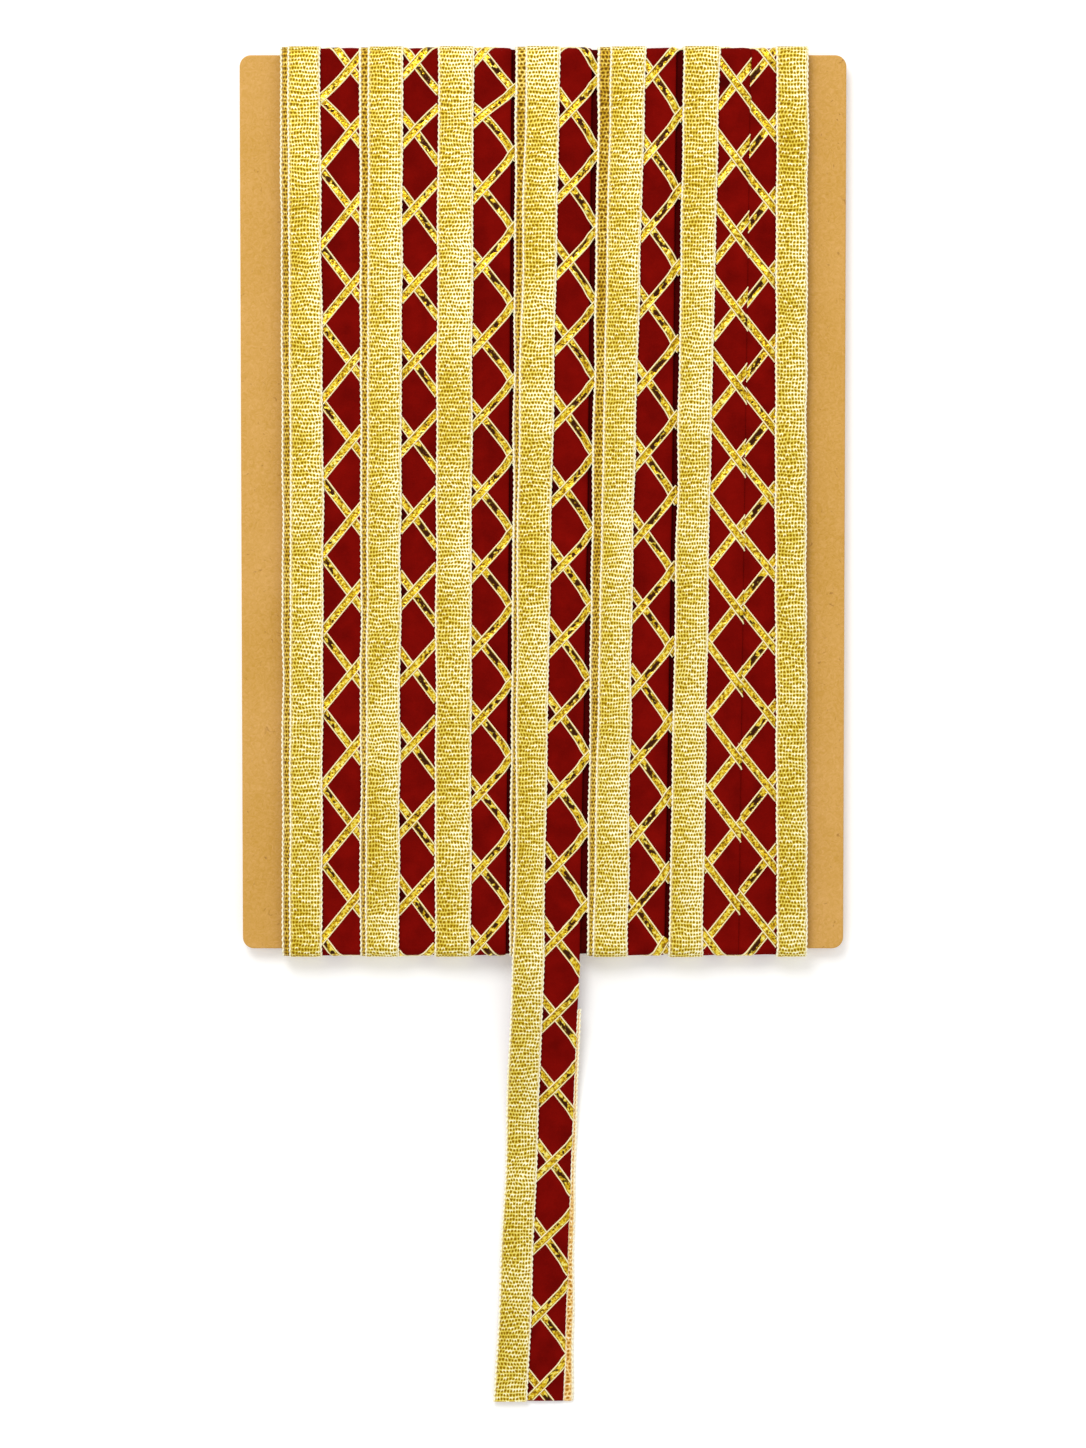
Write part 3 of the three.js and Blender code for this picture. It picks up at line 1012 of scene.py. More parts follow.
class Shader:
    """A short way to write a material's nodes."""

    def __init__(self, name: str) -> None:
        """Start a material with a bare principled surface."""
        self.material = bpy.data.materials.new(name)
        self.material.use_nodes = True
        self.tree = self.material.node_tree
        self.surface = next(node for node in self.tree.nodes if node.type == "BSDF_PRINCIPLED")

    def link(self, value: object, socket: Socket) -> None:
        """Join a socket to another, or set it.

        Args:
            value: A socket, number, vector or colour, or None to leave the socket as it is.
            socket: The socket that gets it.
        """
        if isinstance(value, Socket):
            self.tree.links.new(value, socket)
        elif isinstance(value, tuple) and socket.type == "RGBA":
            socket.default_value = (*value, 1.0)
        elif value is not None:
            socket.default_value = value

    def node(
        self, kind: str, values: dict[int | str, object], out: int | str = 0, **settings: object
    ) -> Socket:
        """Add a node.

        Args:
            kind: The node's type, without the word for shader nodes.
            values: What its inputs get, by number or name.
            out: Which output is wanted.
            settings: The node's own settings.

        Returns:
            That output.
        """
        node = self.tree.nodes.new(f"ShaderNode{kind}")
        for name, value in settings.items():
            setattr(node, name, value)
        for key, value in values.items():
            self.link(value, node.inputs[key])
        return node.outputs[out]

    def math(self, kind: str, *values: object, clamp: bool = False) -> Socket:
        """One sum on numbers."""
        return self.node("Math", dict(enumerate(values)), operation=kind, use_clamp=clamp)

    def scaled(self, value: object, by: object, plus: object = 0.0, clamp: bool = False) -> Socket:
        """A value times a number, plus another."""
        return self.math("MULTIPLY_ADD", value, by, plus, clamp=clamp)

    def times(self, value: object, by: object, clamp: bool = False) -> Socket:
        """A value times another."""
        return self.math("MULTIPLY", value, by, clamp=clamp)

    def wave(self, turns: Socket) -> Socket:
        """A wave of that many turns, from 0 to 1."""
        return self.scaled(self.math("COSINE", self.times(turns, TAU)), 0.5, 0.5)

    def parts(self, name: str) -> tuple[Socket, ...]:
        """The three parts of the piece's own vector attribute."""
        split = self.tree.nodes.new("ShaderNodeSeparateXYZ")
        self.link(self.node("Attribute", {}, "Vector", attribute_name=name), split.inputs[0])
        return tuple(split.outputs)

    def place(self, turned: float = 0.0) -> Socket:
        """Object coordinates, turned about the vertical."""
        coordinates = self.node("TexCoord", {}, "Object")
        return self.node("Mapping", {"Vector": coordinates, "Rotation": (0.0, 0.0, turned)})

    def vector(self, x: object, y: object) -> Socket:
        """A flat vector of two numbers."""
        return self.node("CombineXYZ", {0: x, 1: y})

    def noise(self, vector: Socket, scale: float, detail: float = 2.0, distortion: float = 0.0) -> Socket:
        """Smooth noise from 0 to 1."""
        values = {"Vector": vector, "Scale": scale, "Detail": detail, "Distortion": distortion}
        return self.node("TexNoise", values)

    def random(self, u: Socket, v: Socket) -> Socket:
        """A random number for each square of a grid, from 0 to 1."""
        square = self.vector(self.math("FLOOR", u), self.math("FLOOR", v))
        return self.node("TexWhiteNoise", {"Vector": square}, "Value", noise_dimensions="2D")

    def ramp(self, value: Socket, stops: Stops) -> Socket:
        """Turn a value into a colour.

        Args:
            value: The value.
            stops: Values with their colours.

        Returns:
            The colour.
        """
        node = self.tree.nodes.new("ShaderNodeValToRGB")
        elements = node.color_ramp.elements
        while len(elements) < len(stops):
            elements.new(0.5)
        for element, (where, colour) in zip(elements, stops):
            element.position = where
            element.color = (*colour, 1.0)
        self.link(value, node.inputs[0])
        return node.outputs[0]

    def mix(self, share: object, first: object, second: object) -> Socket:
        """Two colours mixed."""
        return self.node("Mix", {0: share, 6: first, 7: second}, 2, data_type="RGBA")

    def bump(self, height: Socket, distance: float) -> None:
        """Give the surface a fine relief of that height, in mm."""
        relief = self.node("Bump", {"Height": height, "Strength": 1.0, "Distance": distance * MM})
        self.link(relief, self.surface.inputs["Normal"])

    def finish(self, colour: Socket, roughness: object, specular: float, metallic: object = 0.0) -> Material:
        """Give the surface its colour and gloss.

        Args:
            colour: Its colour.
            roughness: How rough it is.
            specular: Strength of its plain reflections.
            metallic: How much of it is metal.

        Returns:
            The material.
        """
        values = {"Base Color": colour, "Roughness": roughness, "Metallic": metallic}
        for name, value in values.items():
            self.link(value, self.surface.inputs[name])
        self.surface.inputs["Specular IOR Level"].default_value = specular
        return self.material


@dataclass(frozen=True)
class WovenGold:
    """Pale gold metallic weave: gold in its meshes, cream threads, and cream selvedges.

    Attributes:
        name: The material's name.
        deep: The darkest meshes: the gold in them, darkened most with painted shade.
        mesh: The other meshes: the gold in them, darkened with painted shade.
        thread: The threads between them.
        bead: Where threads cross and catch the light.
        selvedge: The cords along the edges.
        gloom: Painted shade in the hollows of those cords.
        stops: Depths at which the bead, thread, mesh and deep colours lie.
        wander: Scale of the noise that shifts the rows, and how far it shifts them.
        jitter: Scale of the noise that shifts the meshes, and how far it shifts them.
        patches: Scale of the lighter and darker patches, and their strength.
        fibres: Scale of the fibres.
        brick: Scale of the places where the rows are staggered like bricks.
        twist: How many twists of a cord there are to a row.
        relief: Height of the fine relief.
    """

    name: str = "woven_gold"
    deep: Colour = (0.27, 0.135, 0.002)
    mesh: Colour = (0.56, 0.37, 0.003)
    thread: Colour = (0.86, 0.73, 0.14)
    bead: Colour = (1.0, 0.98, 0.72)
    selvedge: Colour = (1.0, 0.96, 0.72)
    gloom: Colour = (0.72, 0.52, 0.11)
    stops: tuple[float, float, float, float] = (0.0, 0.13, 0.36, 0.72)
    wander: tuple[float, float] = (560.0, 0.3)
    jitter: tuple[float, float] = (700.0, 0.5)
    patches: tuple[float, float] = (60.0, 0.36)
    fibres: float = 2200.0
    brick: float = 75.0
    twist: float = 0.70
    relief: float = 0.055

    def build(self) -> Material:
        """Make the material, whose meshes are darkest in their middles with painted shade, and whose threads
        get painted highlights at random.
        """
        shader = Shader(self.name)
        u, v, edge = shader.parts("weave")
        place = shader.place()
        # The rows wander, and in some places they stagger like bricks.
        v = shader.scaled(shader.noise(shader.place(1.0), self.wander[0], 0.0), self.wander[1], v)
        brick = shader.scaled(u, -0.35, shader.times(shader.noise(place, self.brick, 0.0), 12.0))
        brick = shader.math("SUBTRACT", brick, 3.6, clamp=True)
        odd = shader.math("FLOORED_MODULO", shader.math("ROUND", v), 2.0)
        # A painted highlight that grows towards the tape's right edge.
        lean = shader.scaled(u, 0.014, -0.10)
        u = shader.math("ADD", u, shader.times(shader.times(brick, odd), 0.5))
        u = shader.scaled(shader.noise(place, self.jitter[0], 0.0), self.jitter[1], u)
        # Each mesh has a hole of its own depth, painted darker the deeper it is, and each thread between two
        # a painted gleam of its own.
        hole = shader.times(shader.wave(v), shader.scaled(shader.wave(u), 0.97, 0.03))
        next_u, next_v = shader.math("ADD", u, 0.5), shader.math("ADD", v, 0.5)
        depth, gleam = shader.random(next_u, next_v), shader.random(next_u, v)
        patch = shader.noise(place, self.patches[0], 2.0)
        fibre = shader.noise(place, self.fibres, 1.0)
        light = shader.math("ADD", shader.scaled(gleam, 0.36, shader.scaled(fibre, 0.36, -0.36)), lean)
        light = shader.math("ADD", shader.scaled(patch, self.patches[1], -0.20), light)
        sunk = shader.scaled(depth, 0.30, shader.math("SUBTRACT", hole, 0.11))
        sunk = shader.math("SUBTRACT", sunk, light)
        weave = shader.ramp(sunk, tuple(zip(self.stops, (self.bead, self.thread, self.mesh, self.deep))))
        # The selvedge's cords are twisted, with painted shade in their hollows, and a groove in painted
        # shade parts them from the net.
        twist = shader.math("COSINE", shader.times(v, TAU * self.twist))
        hollow = shader.scaled(twist, 0.5, shader.scaled(fibre, 1.2, -0.65), clamp=True)
        groove = shader.times(edge, shader.math("SUBTRACT", 1.0, edge))
        cord = shader.mix(hollow, self.selvedge, self.gloom)
        cord = shader.mix(shader.times(groove, 3.0, clamp=True), cord, self.mesh)
        shader.bump(shader.scaled(fibre, 0.3, shader.times(hole, -1.2)), self.relief)
        roughness, metallic = shader.scaled(gleam, 0.3, 0.3), shader.scaled(edge, -0.2, 0.25)
        return shader.finish(shader.mix(edge, weave, cord), roughness, 0.05, metallic)


@dataclass(frozen=True)
class HammeredFoil:
    """Shiny yellow foil with dark reflections, and cream threads along its edges.

    Attributes:
        white: Its highlights.
        bright: Its light dents.
        gold: Its middle tone.
        shade: Its dark dents.
        dark: Its dark reflections.
        thread: The edge threads.
        stops: Tones at which shade, gold, bright and white lie.
        rim: Where the shade beside a thread starts, as a share of the half width, and its strength.
        thread_from: Where a thread starts.
        relief: Height of the dents.
    """

    white: Colour = (1.0, 0.93, 0.28)
    bright: Colour = (0.90, 0.66, 0.030)
    gold: Colour = (0.62, 0.36, 0.006)
    shade: Colour = (0.25, 0.11, 0.005)
    dark: Colour = (0.050, 0.011, 0.002)
    thread: Colour = (0.96, 0.86, 0.50)
    stops: tuple[float, float, float, float] = (0.44, 0.54, 0.64, 0.77)
    rim: tuple[float, float] = (0.58, 0.72)
    thread_from: float = 0.72
    relief: float = 0.10

    def build(self) -> Material:
        """Make the material, from smooth dents and small facets."""
        shader = Shader("hammered_foil")
        along, aside, dark = shader.parts("foil")
        dents = shader.noise(shader.vector(along, aside), 1.6, 2.0, 0.5)
        corners = {"Vector": shader.vector(along, shader.times(aside, 1.1)), "Scale": 1.45}
        facets = shader.node("TexVoronoi", corners, "Distance")
        tone = shader.scaled(facets, 0.35, shader.times(dents, 0.80))
        metal = shader.ramp(tone, tuple(zip(self.stops, (self.shade, self.gold, self.bright, self.white))))
        across = shader.math("ABSOLUTE", aside)
        # Dark reflections lie in long blots on the middle of a ribbon, between its threads.
        blot = shader.noise(shader.vector(shader.times(along, 0.60), aside), 1.0, 1.0)
        spots = shader.scaled(shader.scaled(dark, 0.28, blot), 14.0, -9.1, clamp=True)
        middle = shader.scaled(across, -6.0, 4.0, clamp=True)
        metal = shader.mix(shader.times(spots, middle), metal, self.dark)
        rim = shader.times(shader.math("GREATER_THAN", across, self.rim[0]), self.rim[1])
        metal = shader.mix(rim, metal, self.shade)
        edge = shader.math("GREATER_THAN", across, self.thread_from)
        shader.bump(shader.math("ADD", shader.times(dents, 0.8), facets), self.relief)
        roughness, metallic = shader.scaled(edge, 0.4, 0.25), shader.scaled(edge, -0.6, 0.6)
        return shader.finish(shader.mix(edge, metal, self.thread), roughness, 0.1, metallic)


@dataclass(frozen=True)
class CrimsonCloth:
    """Matt crimson cloth with a fine weave and a mottled sheen.

    Attributes:
        name: The material's name.
        deep: Its darker tone.
        light: Its lighter tone.
        shade: Its tone where the tape shades it.
    """

    name: str = "crimson_cloth"
    deep: Colour = (0.110, 0.0016, 0.0010)
    light: Colour = (0.215, 0.0034, 0.0018)
    shade: Colour = (0.022, 0.0010, 0.0010)

    def build(self) -> Material:
        """Make the material."""
        shader = Shader(self.name)
        place = shader.place()
        mottle = shader.noise(place, 180.0, 4.0)
        grain = shader.noise(place, 2400.0, 2.0)
        tone = shader.scaled(grain, 0.25, shader.times(mottle, 0.75))
        colour = shader.ramp(tone, ((0.25, self.deep), (0.75, self.light)))
        gloom = shader.parts("cloth")[2]
        colour = shader.mix(shader.times(gloom, 0.85, clamp=True), colour, self.shade)
        shader.bump(grain, 0.04)
        return shader.finish(colour, 0.9, 0.01)


@dataclass(frozen=True)
class Fibreboard:
    """Tan fibreboard with short curled fibres and a few dark flecks.

    Attributes:
        pale: Its lighter tone.
        tan: Its darker tone.
        fleck: The flecks.
    """

    pale: Colour = (0.685, 0.390, 0.125)
    tan: Colour = (0.535, 0.285, 0.046)
    fleck: Colour = (0.30, 0.13, 0.03)

    def build(self) -> Material:
        """Make the material."""
        shader = Shader("fibreboard")
        place = shader.place()
        fibres = shader.noise(place, 700.0, 3.0, 2.5)
        clouds = shader.noise(place, 40.0, 2.0)
        tone = shader.scaled(clouds, 0.35, shader.times(fibres, 0.65))
        board = shader.ramp(tone, ((0.3, self.tan), (0.7, self.pale)))
        curls = shader.noise(shader.place(0.7), 330.0, 1.0, 3.0)
        flecks = shader.ramp(curls, ((0.70, (0.0, 0.0, 0.0)), (0.80, (0.6, 0.6, 0.6))))
        shader.bump(fibres, 0.05)
        return shader.finish(shader.mix(flecks, board, self.fleck), 0.85, 0.05)


# A darker copy of the woven gold: its darkness is painted shade on the under tapes, which lie beneath the
# tapes.
SHADED_UNDER_GOLD = WovenGold(
    "shaded_under_gold",
    deep=(0.14, 0.062, 0.003),
    mesh=(0.38, 0.20, 0.004),
    thread=(0.66, 0.45, 0.045),
    bead=(0.90, 0.76, 0.26),
)
BACK_GOLD = WovenGold(
    "back_gold",
    deep=(0.42, 0.17, 0.015),
    mesh=(0.72, 0.38, 0.055),
    thread=(0.92, 0.68, 0.26),
    bead=(1.0, 0.93, 0.74),
    gloom=(0.84, 0.56, 0.22),
)
# A darker copy of the crimson cloth: its darkness is painted shade on the first turns, deep between the
# others.
SHADED_CRIMSON = CrimsonCloth("shaded_crimson", deep=(0.05, 0.001, 0.001), light=(0.09, 0.002, 0.002))


@dataclass(frozen=True)
class Finishes:
    """The object's finishes, each made once."""

    gold: Material = field(default_factory=WovenGold().build)
    shaded_under_gold: Material = field(default_factory=SHADED_UNDER_GOLD.build)
    back_gold: Material = field(default_factory=BACK_GOLD.build)
    foil: Material = field(default_factory=HammeredFoil().build)
    cloth: Material = field(default_factory=CrimsonCloth().build)
    shaded_cloth: Material = field(default_factory=SHADED_CRIMSON.build)
    board: Material = field(default_factory=Fibreboard().build)


# The object's sub-assemblies


@dataclass
class WoundTrim:
    """All the turns of trim round the card.

    Attributes:
        wrap: The way round the card.
        finishes: The object's finishes.
        tape: The woven tape.
        ribbon: The folded ribbon.
        foil: The foil ribbons.
        row: Spacing of the tape's points along, on the face.
        back_row: Their spacing behind the card.
        ribbon_row: Spacing of the ribbon's points along.
        inset: How far inside the tape's edge the ribbon's cut edge lies.
        under_thickness: Thickness of the under tape.
        under_least: Least width of the under tape.
        under_lap: How far it goes in under the tape.
        bend: How far foil ribbons bend as they reach the fold, where it shows.
        cut_start: y where the winding begins, behind the card.
        cut_last: y where the last slanting turn ends, behind the card.
        turned_head: y behind the card where the turned pass starts.
        turned_foot: y behind the card where it ends.
        turned_lap: How far its ribbon and its foil go in under its tape, and how far the foil starts in.
    """

    wrap: Wrap
    finishes: Finishes
    tape: TapeWeave = TapeWeave()
    ribbon: RibbonCloth = RibbonCloth()
    foil: FoilRibbon = FoilRibbon()
    row: float = 0.40
    back_row: float = 1.0
    ribbon_row: float = 1.1
    inset: float = 0.5
    under_thickness: float = 0.45
    under_least: float = 1.6
    under_lap: float = 0.7
    bend: float = 0.6
    cut_start: float = 70.0
    cut_last: float = 50.0
    turned_head: float = 62.0
    turned_foot: float = -40.0
    turned_lap: tuple[float, float, float] = (1.5, 0.6, 0.4)

    def bed(self, level: Level, left: Edge, right: Edge) -> Bed:
        """What a tape or ribbon of a layer lies along, between two edges."""
        return Bed(self.wrap.card, partial(self.wrap.at, level), left, right)

    def behind(self, level: Level, y: float) -> float:
        """The way of height y behind the card, past the foot."""
        return 2 * self.wrap.nose(level) + y

    def spans(self, index: int, level: Level) -> list[Span]:
        """The stretches of a turn's way that a layer covers.

        Args:
            index: The turn's number.
            level: The layer.

        Returns:
            Pairs of a first and a last way.
        """
        nose = self.wrap.nose(level)
        start, end = -nose, 3 * nose
        if index == 0:
            start = -2 * nose + self.cut_start
        if index == len(TURNS) - 1:
            end = self.behind(level, self.cut_last)
        if index == LOOSE_TURN and level is not Level.UNDER_TAPE:
            return [(start, -LooseCourse.start + LooseCourse.overlap), (nose, end)]
        return [(start, end)]

    def course(self, index: int) -> Course:
        """Where a turn runs.

        Args:
            index: The turn's number.

        Returns:
            Its course, on to the next turn's head or a pitch further on.
        """
        here = TURNS[index]
        if index + 1 < len(TURNS):
            next_head = {name: edge[0] for name, edge in TURNS[index + 1].edges.items()}
        else:
            next_head = {name: edge[0] + TURN_PITCH for name, edge in here.edges.items()}
        slant = TURNS[1].edges["under"][0] - TURNS[0].edges["under"][2]
        return Course(self.wrap, here, next_head, slant)

    def rows(self, span: Span, level: Level) -> Array:
        """Where a tape's rows of points lie: close on the face and wider behind the card.

        Args:
            span: The tape's first and last way.
            level: Its layer.

        Returns:
            The rows' ways.
        """
        start, end = span
        turn_at = self.wrap.nose(level) + 2.0
        face_from = max(start, -turn_at)
        face_to = min(end, turn_at)
        parts = []
        if start < face_from:
            parts.append(spaced(start, face_from, self.back_row)[:-1])
        if face_to > face_from:
            parts.append(spaced(face_from, face_to, self.row))
        if end > face_to:
            parts.append(spaced(max(face_to, start), end, self.back_row)[1 if face_to > face_from else 0:])
        return np.concatenate(parts)

    def build_turn(self, index: int) -> list[Thing]:
        """Make a turn's tape, under tape, ribbon and foil.

        Args:
            index: The turn's number.

        Returns:
            The new pieces.
        """
        course = self.course(index)
        seed = 10 * (index + 1)
        woven = self.bed(Level.TAPE, partial(course.x, "tape_left"), partial(course.x, "tape_right"))
        lengths = [self.rows(span, Level.TAPE) for span in self.spans(index, Level.TAPE)]
        made = [self.tape.build(f"tape_turn_{index + 1}", self.finishes.gold, woven, lengths, seed)]
        edges = course.here.edges
        if max(left - under for under, left in zip(edges["under"], edges["tape_left"])) > LEAST_REVEAL:
            made.append(self.build_under_tape(index, course, seed + 5))
        return made + self.build_ribbon(index, course)

    def build_under_tape(self, index: int, course: Course, seed: int) -> Thing:
        """Make the strip of tape that shows at a turn's left.

        Args:
            index: The turn's number.
            course: Where the turn runs.
            seed: Which unevenness the tape has.

        Returns:
            The new piece.
        """
        def right(way: Array) -> Array:
            """x of its right edge, under the tape."""
            least = course.x("under", way) + self.under_least
            return np.maximum(least, course.x("tape_left", way) + self.under_lap)

        bed = self.bed(Level.UNDER_TAPE, partial(course.x, "under"), right)
        lengths = [self.rows(span, Level.UNDER_TAPE) for span in self.spans(index, Level.UNDER_TAPE)]
        narrow = replace(self.tape, thickness=self.under_thickness)
        # Its finish is the darker copy of the woven gold, with painted shade for a tape lying beneath
        # another.
        return narrow.build(f"under_tape_turn_{index + 1}", self.finishes.shaded_under_gold, bed, lengths, seed)

    def build_ribbon(self, index: int, course: Course) -> list[Thing]:
        """Make a turn's red ribbon and the foil lattice on it.

        Args:
            index: The turn's number.
            course: Where the turn runs.

        Returns:
            The two new pieces.
        """
        lattice = course.here.lattice
        fold = partial(course.x, "fold")
        bed = self.bed(Level.RIBBON, lambda way: course.x("tape_left", way) + self.inset, fold)
        spans = self.spans(index, Level.RIBBON)
        lengths = [spaced(start, end, self.ribbon_row) for start, end in spans]
        gloom = lambda x, way: lattice.gloom(x, way, course.row(way), course.x("tape_right", way))
        cloth = self.ribbon.build(f"ribbon_turn_{index + 1}", self.finishes.cloth, bed, lengths, gloom)

        if index + 1 < len(TURNS):
            after = self.course(index + 1)
            middle = np.array(0.0)
            bend = self.bend if fold(middle) < after.x("under", middle) else 0.0
            surface = partial(self.ribbon.past, bed, sink=self.foil.sink)
            right = lambda way: np.maximum(fold(way), after.x("under", way) + self.foil.run_on)
        else:
            bend = 0.0
            surface = partial(self.ribbon.over, bed)
            right = lambda way: fold(way) + self.foil.wrap_round
        left = lambda way: course.x("tape_right", way) - self.foil.tuck
        lines = LatticeLines(self.wrap.card, lattice, surface, course.row, left, right, fold, bend)
        return [cloth, self.foil.build(f"foil_turn_{index + 1}", self.finishes.foil, lines, spans)]

    def build_turned(self) -> list[Thing]:
        """Make the turned pass on the right, whose tape is on its right.

        Returns:
            Its tape, ribbon and foil.
        """
        head = {name: edge[0] for name, edge in TURNED.edges.items()}
        course = Course(self.wrap, TURNED, head)
        lattice = TURNED.lattice
        cloth_in, foil_in, foil_from = self.turned_lap
        tape_left, cut = partial(course.x, "tape_left"), partial(course.x, "ribbon_left")
        fold = lambda way: tape_left(way) + cloth_in
        woven = self.bed(Level.TAPE, tape_left, partial(course.x, "tape_right"))
        bed = self.bed(Level.LOW_RIBBON, cut, fold)
        tape_span, span = [
            (-2 * self.wrap.nose(level) + self.turned_head, self.behind(level, self.turned_foot))
            for level in (Level.TAPE, Level.LOW_RIBBON)
        ]
        lines = LatticeLines(
            self.wrap.card,
            lattice,
            surface=partial(self.ribbon.over, bed),
            row=lambda way: lattice.row(self.wrap.height(way)),
            left=lambda way: cut(way) + foil_from,
            right=lambda way: tape_left(way) + foil_in,
            fold=fold,
        )
        ways = self.rows(tape_span, Level.TAPE)
        tape = self.tape.build("tape_turned_pass", self.finishes.gold, woven, [ways], 90)
        ways = spaced(*span, self.ribbon_row)
        cloth = self.ribbon.build("ribbon_turned_pass", self.finishes.cloth, bed, [ways])
        return [tape, cloth, self.foil.build("foil_turned_pass", self.finishes.foil, lines, [span])]

    def build_first(self) -> Thing:
        """Make the turns wound first, which show as dark red between the others: their cloth is darkened
        with painted shade.

        Returns:
            The new piece.
        """
        nose = self.wrap.nose(Level.FIRST)
        left, right = FIRST_EDGES
        bed = self.bed(Level.FIRST, lambda way: way * 0 + left, lambda way: way * 0 + right)
        flat = replace(self.ribbon, radius=0.45, crown=0.0, step=4.0, seed=60)
        return flat.build("first_turns", self.finishes.shaded_cloth, bed, [spaced(-nose, 3 * nose, 1.2)])

    def build(self) -> None:
        """Make the whole winding, standing for its solid."""
        pieces = [piece for index in range(len(TURNS)) for piece in self.build_turn(index)]
        pieces += self.build_turned()
        pieces.append(self.build_first())
        for piece in pieces:
            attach(piece, "root")
        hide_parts("wound_trim")


@dataclass
class LooseEnd:
    """The trim's loose end, from the card's face to its cut end on the surface.

    Attributes:
        course: Where it lies.
        finishes: The object's finishes.
        tape: The woven tape.
        ribbon: The folded ribbon.
        foil: The foil ribbons.
        tape_face: Height of the tape's face above the ribbon's underside.
        back_face: Height of the back tape's face there.
        back_thickness: The back tape's thickness.
        back_lap: How far it goes in under the fold.
        back_start: y where it begins to show.
        row: Spacing of the tapes' points along.
        ribbon_row: Spacing of the ribbon's points along.
        inset: How far inside the tape's edge the ribbon's cut edge lies.
        bend: How far foil ribbons bend as they reach the fold.
        fine_to: How far along foil ribbons have close points, which is past its end.
        shade: How much of the shade beside a tape it has.
        lattice: The loose end's lattice.
        crossings: For some heights, x of its row of crossings.
    """

    course: LooseCourse
    finishes: Finishes
    tape: TapeWeave = TapeWeave()
    ribbon: RibbonCloth = RibbonCloth()
    foil: FoilRibbon = FoilRibbon()
    tape_face: float = 1.95
    back_face: float = 0.75
    back_thickness: float = 0.6
    back_lap: float = 0.3
    back_start: float = -126.0
    row: float = 0.34
    ribbon_row: float = 0.9
    inset: float = 0.5
    bend: float = 0.6
    fine_to: float = 400.0
    shade: float = 0.6
    lattice: Lattice = Lattice(3.4, -0.9, -146.5, 19.13, 8.3, 0.11)
    crossings: tuple[tuple[float, float], ...] = (
        (-225.8, -0.9),
        (-203.0, -0.6),
        (-164.0, 2.3),
        (-146.0, 2.7),
        (-103.8, 3.45),
    )

    def bed(self, height: float, left: Edge, right: Edge) -> Bed:
        """What a tape or ribbon lies along, at a height above the underside."""
        return Bed(self.course.wrap.card, partial(self.course.at, height), left, right)

    def crossing_x(self, way: Array) -> Array:
        """x of the row of crossings at each way."""
        heights, places = np.array(self.crossings).T
        return np.interp(-way, heights, places)

    def build(self) -> None:
        """Make the loose end's pieces, and stand them for their solids."""
        course, finishes = self.course, self.finishes
        start, end = -course.start, course.last_way()
        tape_left, tape_right, fold, back_tape = [partial(course.x, name) for name in course.names]

        bed = self.bed(course.thickness, lambda way: tape_left(way) + self.inset, fold)
        gloom = lambda x, way: self.shade * self.lattice.gloom(x, way, self.crossing_x(way), tape_right(way))
        ways = spaced(start, end, self.ribbon_row)
        ribbon = self.ribbon.build("loose_ribbon_cloth", finishes.cloth, bed, [ways], gloom)

        woven = self.bed(self.tape_face, tape_left, tape_right)
        ways = spaced(start, end, self.row)
        tape = self.tape.build("loose_tape_weave", finishes.gold, woven, [ways], 10 * (LOOSE_TURN + 1))

        thin = replace(self.tape, thickness=self.back_thickness)
        past_card = spaced(-self.back_start, end, self.row)
        strip = self.bed(self.back_face, lambda way: fold(way) - self.back_lap, back_tape)
        back = thin.build("loose_back_tape_weave", finishes.back_gold, strip, [past_card], 80)

        lines = LatticeLines(
            course.wrap.card,
            self.lattice,
            surface=partial(self.ribbon.over, bed),
            row=self.crossing_x,
            left=lambda way: tape_right(way) - self.foil.tuck,
            right=lambda way: fold(way) + self.foil.wrap_round,
            fold=fold,
            bend=self.bend,
            fine_to=self.fine_to,
        )
        foils = self.foil.build("loose_foil", finishes.foil, lines, [(start, end)])

        pieces = [ribbon, tape, back, foils]
        slots = ("red_ribbon", "gold_tape", "gold_tape", "gold_foil")
        nodes = ("loose_ribbon", "loose_tape", "loose_back_tape", None)
        for piece, slot, node in zip(pieces, slots, nodes):
            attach(piece, "root")
            if node:
                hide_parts(node)
        # The cloth's flat width is measured where it lies past the card.
        width = float(np.mean(fold(past_card) - bed.left(past_card))) * MM
        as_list(pieces[1:])


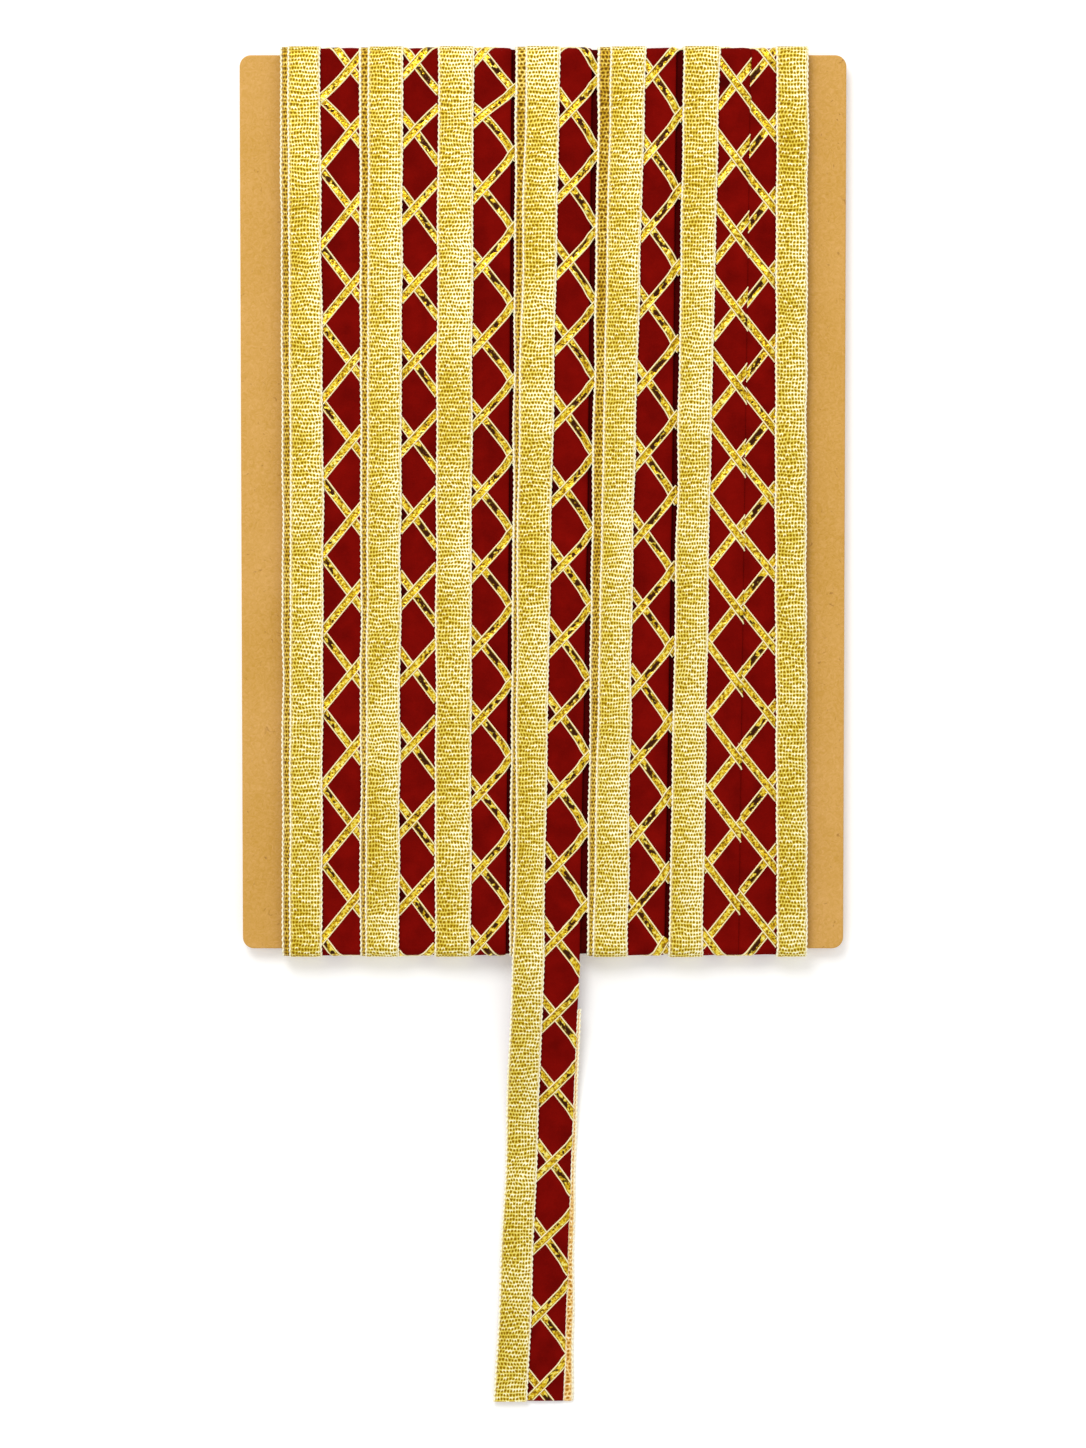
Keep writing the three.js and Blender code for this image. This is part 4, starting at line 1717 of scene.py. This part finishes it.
@dataclass
class Studio:
    """Pale floor, soft light from the head's side, and a camera that looks straight down.

    Attributes:
        card: Where the card lies.
        distance: How far the camera is from the card's face.
        lean: How far the camera leans towards the head, in degrees.
        scale: Pixels of the photograph to a mm, at the middle of the card.
        height: Height of the photograph, in pixels.
        sensor: Height of the camera's sensor.
        aim: The point that the camera looks at, in mm on the card.
        key_power: The light's power, in watts.
        key_size: The light's width, in metres.
        key_place: Where the light hangs, in metres.
        sky: The sky's colour.
        sky_strength: How bright the sky is.
        floor_glow: How much light the lit table gives by itself.
    """

    card: CardBox
    distance: float = 900.0
    lean: float = 2.6
    scale: float = 4.0233
    height: float = 1448.0
    sensor: float = 24.0
    aim: tuple[float, float, float] = (0.0, -54.56, 7.0)
    key_power: float = 6.4
    key_size: float = 0.5
    key_place: tuple[float, float, float] = (-0.26, 0.70, 0.95)
    sky: Colour = (1.0, 0.995, 0.98)
    sky_strength: float = 0.80
    floor_glow: float = 0.13

    def camera(self) -> None:
        """Make the camera."""
        data = bpy.data.cameras.new("camera")
        data.sensor_fit = "VERTICAL"
        data.sensor_height = self.sensor
        data.lens = self.scale * self.sensor / self.height * self.distance
        data.clip_end = 10.0
        made = bpy.data.objects.new("camera", data)
        lean = math.radians(self.lean)
        target = Vector(self.card.metres(*[np.array(part) for part in self.aim]).tolist())
        made.location = target + Vector((0.0, math.sin(lean), math.cos(lean))) * self.distance * MM
        made.rotation_euler = (-lean, 0.0, 0.0)
        bpy.context.scene.collection.objects.link(made)
        bpy.context.scene.camera = made

    def light(self) -> None:
        """Add a soft square light that faces the middle of the object."""
        data = bpy.data.lights.new("key", "AREA")
        data.energy = self.key_power
        data.size = self.key_size
        made = bpy.data.objects.new("key", data)
        made.location = self.key_place
        made.rotation_euler = Vector(self.key_place).to_track_quat("Z", "Y").to_euler()
        bpy.context.scene.collection.objects.link(made)

    def floor(self) -> None:
        """Make the floor the object lies on, like a faintly lit table."""
        mesh = bmesh.new()
        bmesh.ops.create_grid(mesh, x_segments=4, y_segments=4, size=2.0)
        data = bpy.data.meshes.new("floor")
        mesh.to_mesh(data)
        mesh.free()
        shader = Shader("pale_floor")
        colour = shader.ramp(shader.noise(shader.place(), 3.0), ((0.0, (0.93,) * 3), (1.0, (0.96,) * 3)))
        shader.surface.inputs["Emission Color"].default_value = (1.0, 1.0, 1.0, 1.0)
        shader.surface.inputs["Emission Strength"].default_value = self.floor_glow
        data.materials.append(shader.finish(colour, 0.9, 0.1))
        made = bpy.data.objects.new("floor", data)
        bpy.context.scene.collection.objects.link(made)

    def build(self) -> None:
        """Set up floor, light, sky and camera."""
        self.floor()
        self.light()
        world = bpy.data.worlds.new("soft_white")
        world.use_nodes = True
        sky = world.node_tree.nodes["Background"]
        sky.inputs["Color"].default_value = (*self.sky, 1.0)
        sky.inputs["Strength"].default_value = self.sky_strength
        scene = bpy.context.scene
        scene.world = world
        scene.view_settings.view_transform = "Standard"
        self.camera()


def main() -> None:
    """Load the frame, dress every part, and set up the studio."""
    logging.basicConfig(level=logging.INFO, format="%(name)s: %(message)s")
    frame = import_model()
    card = CardBox.from_frame()
    finishes = Finishes()
    for slot in frame["nodes"]["card"].material_slots:
        slot.material = finishes.board
    wrap = Wrap(card)
    WoundTrim(wrap, finishes).build()
    LooseEnd(LooseCourse(wrap), finishes).build()
    Studio(card).build()


if __name__ == "__main__":
    main()
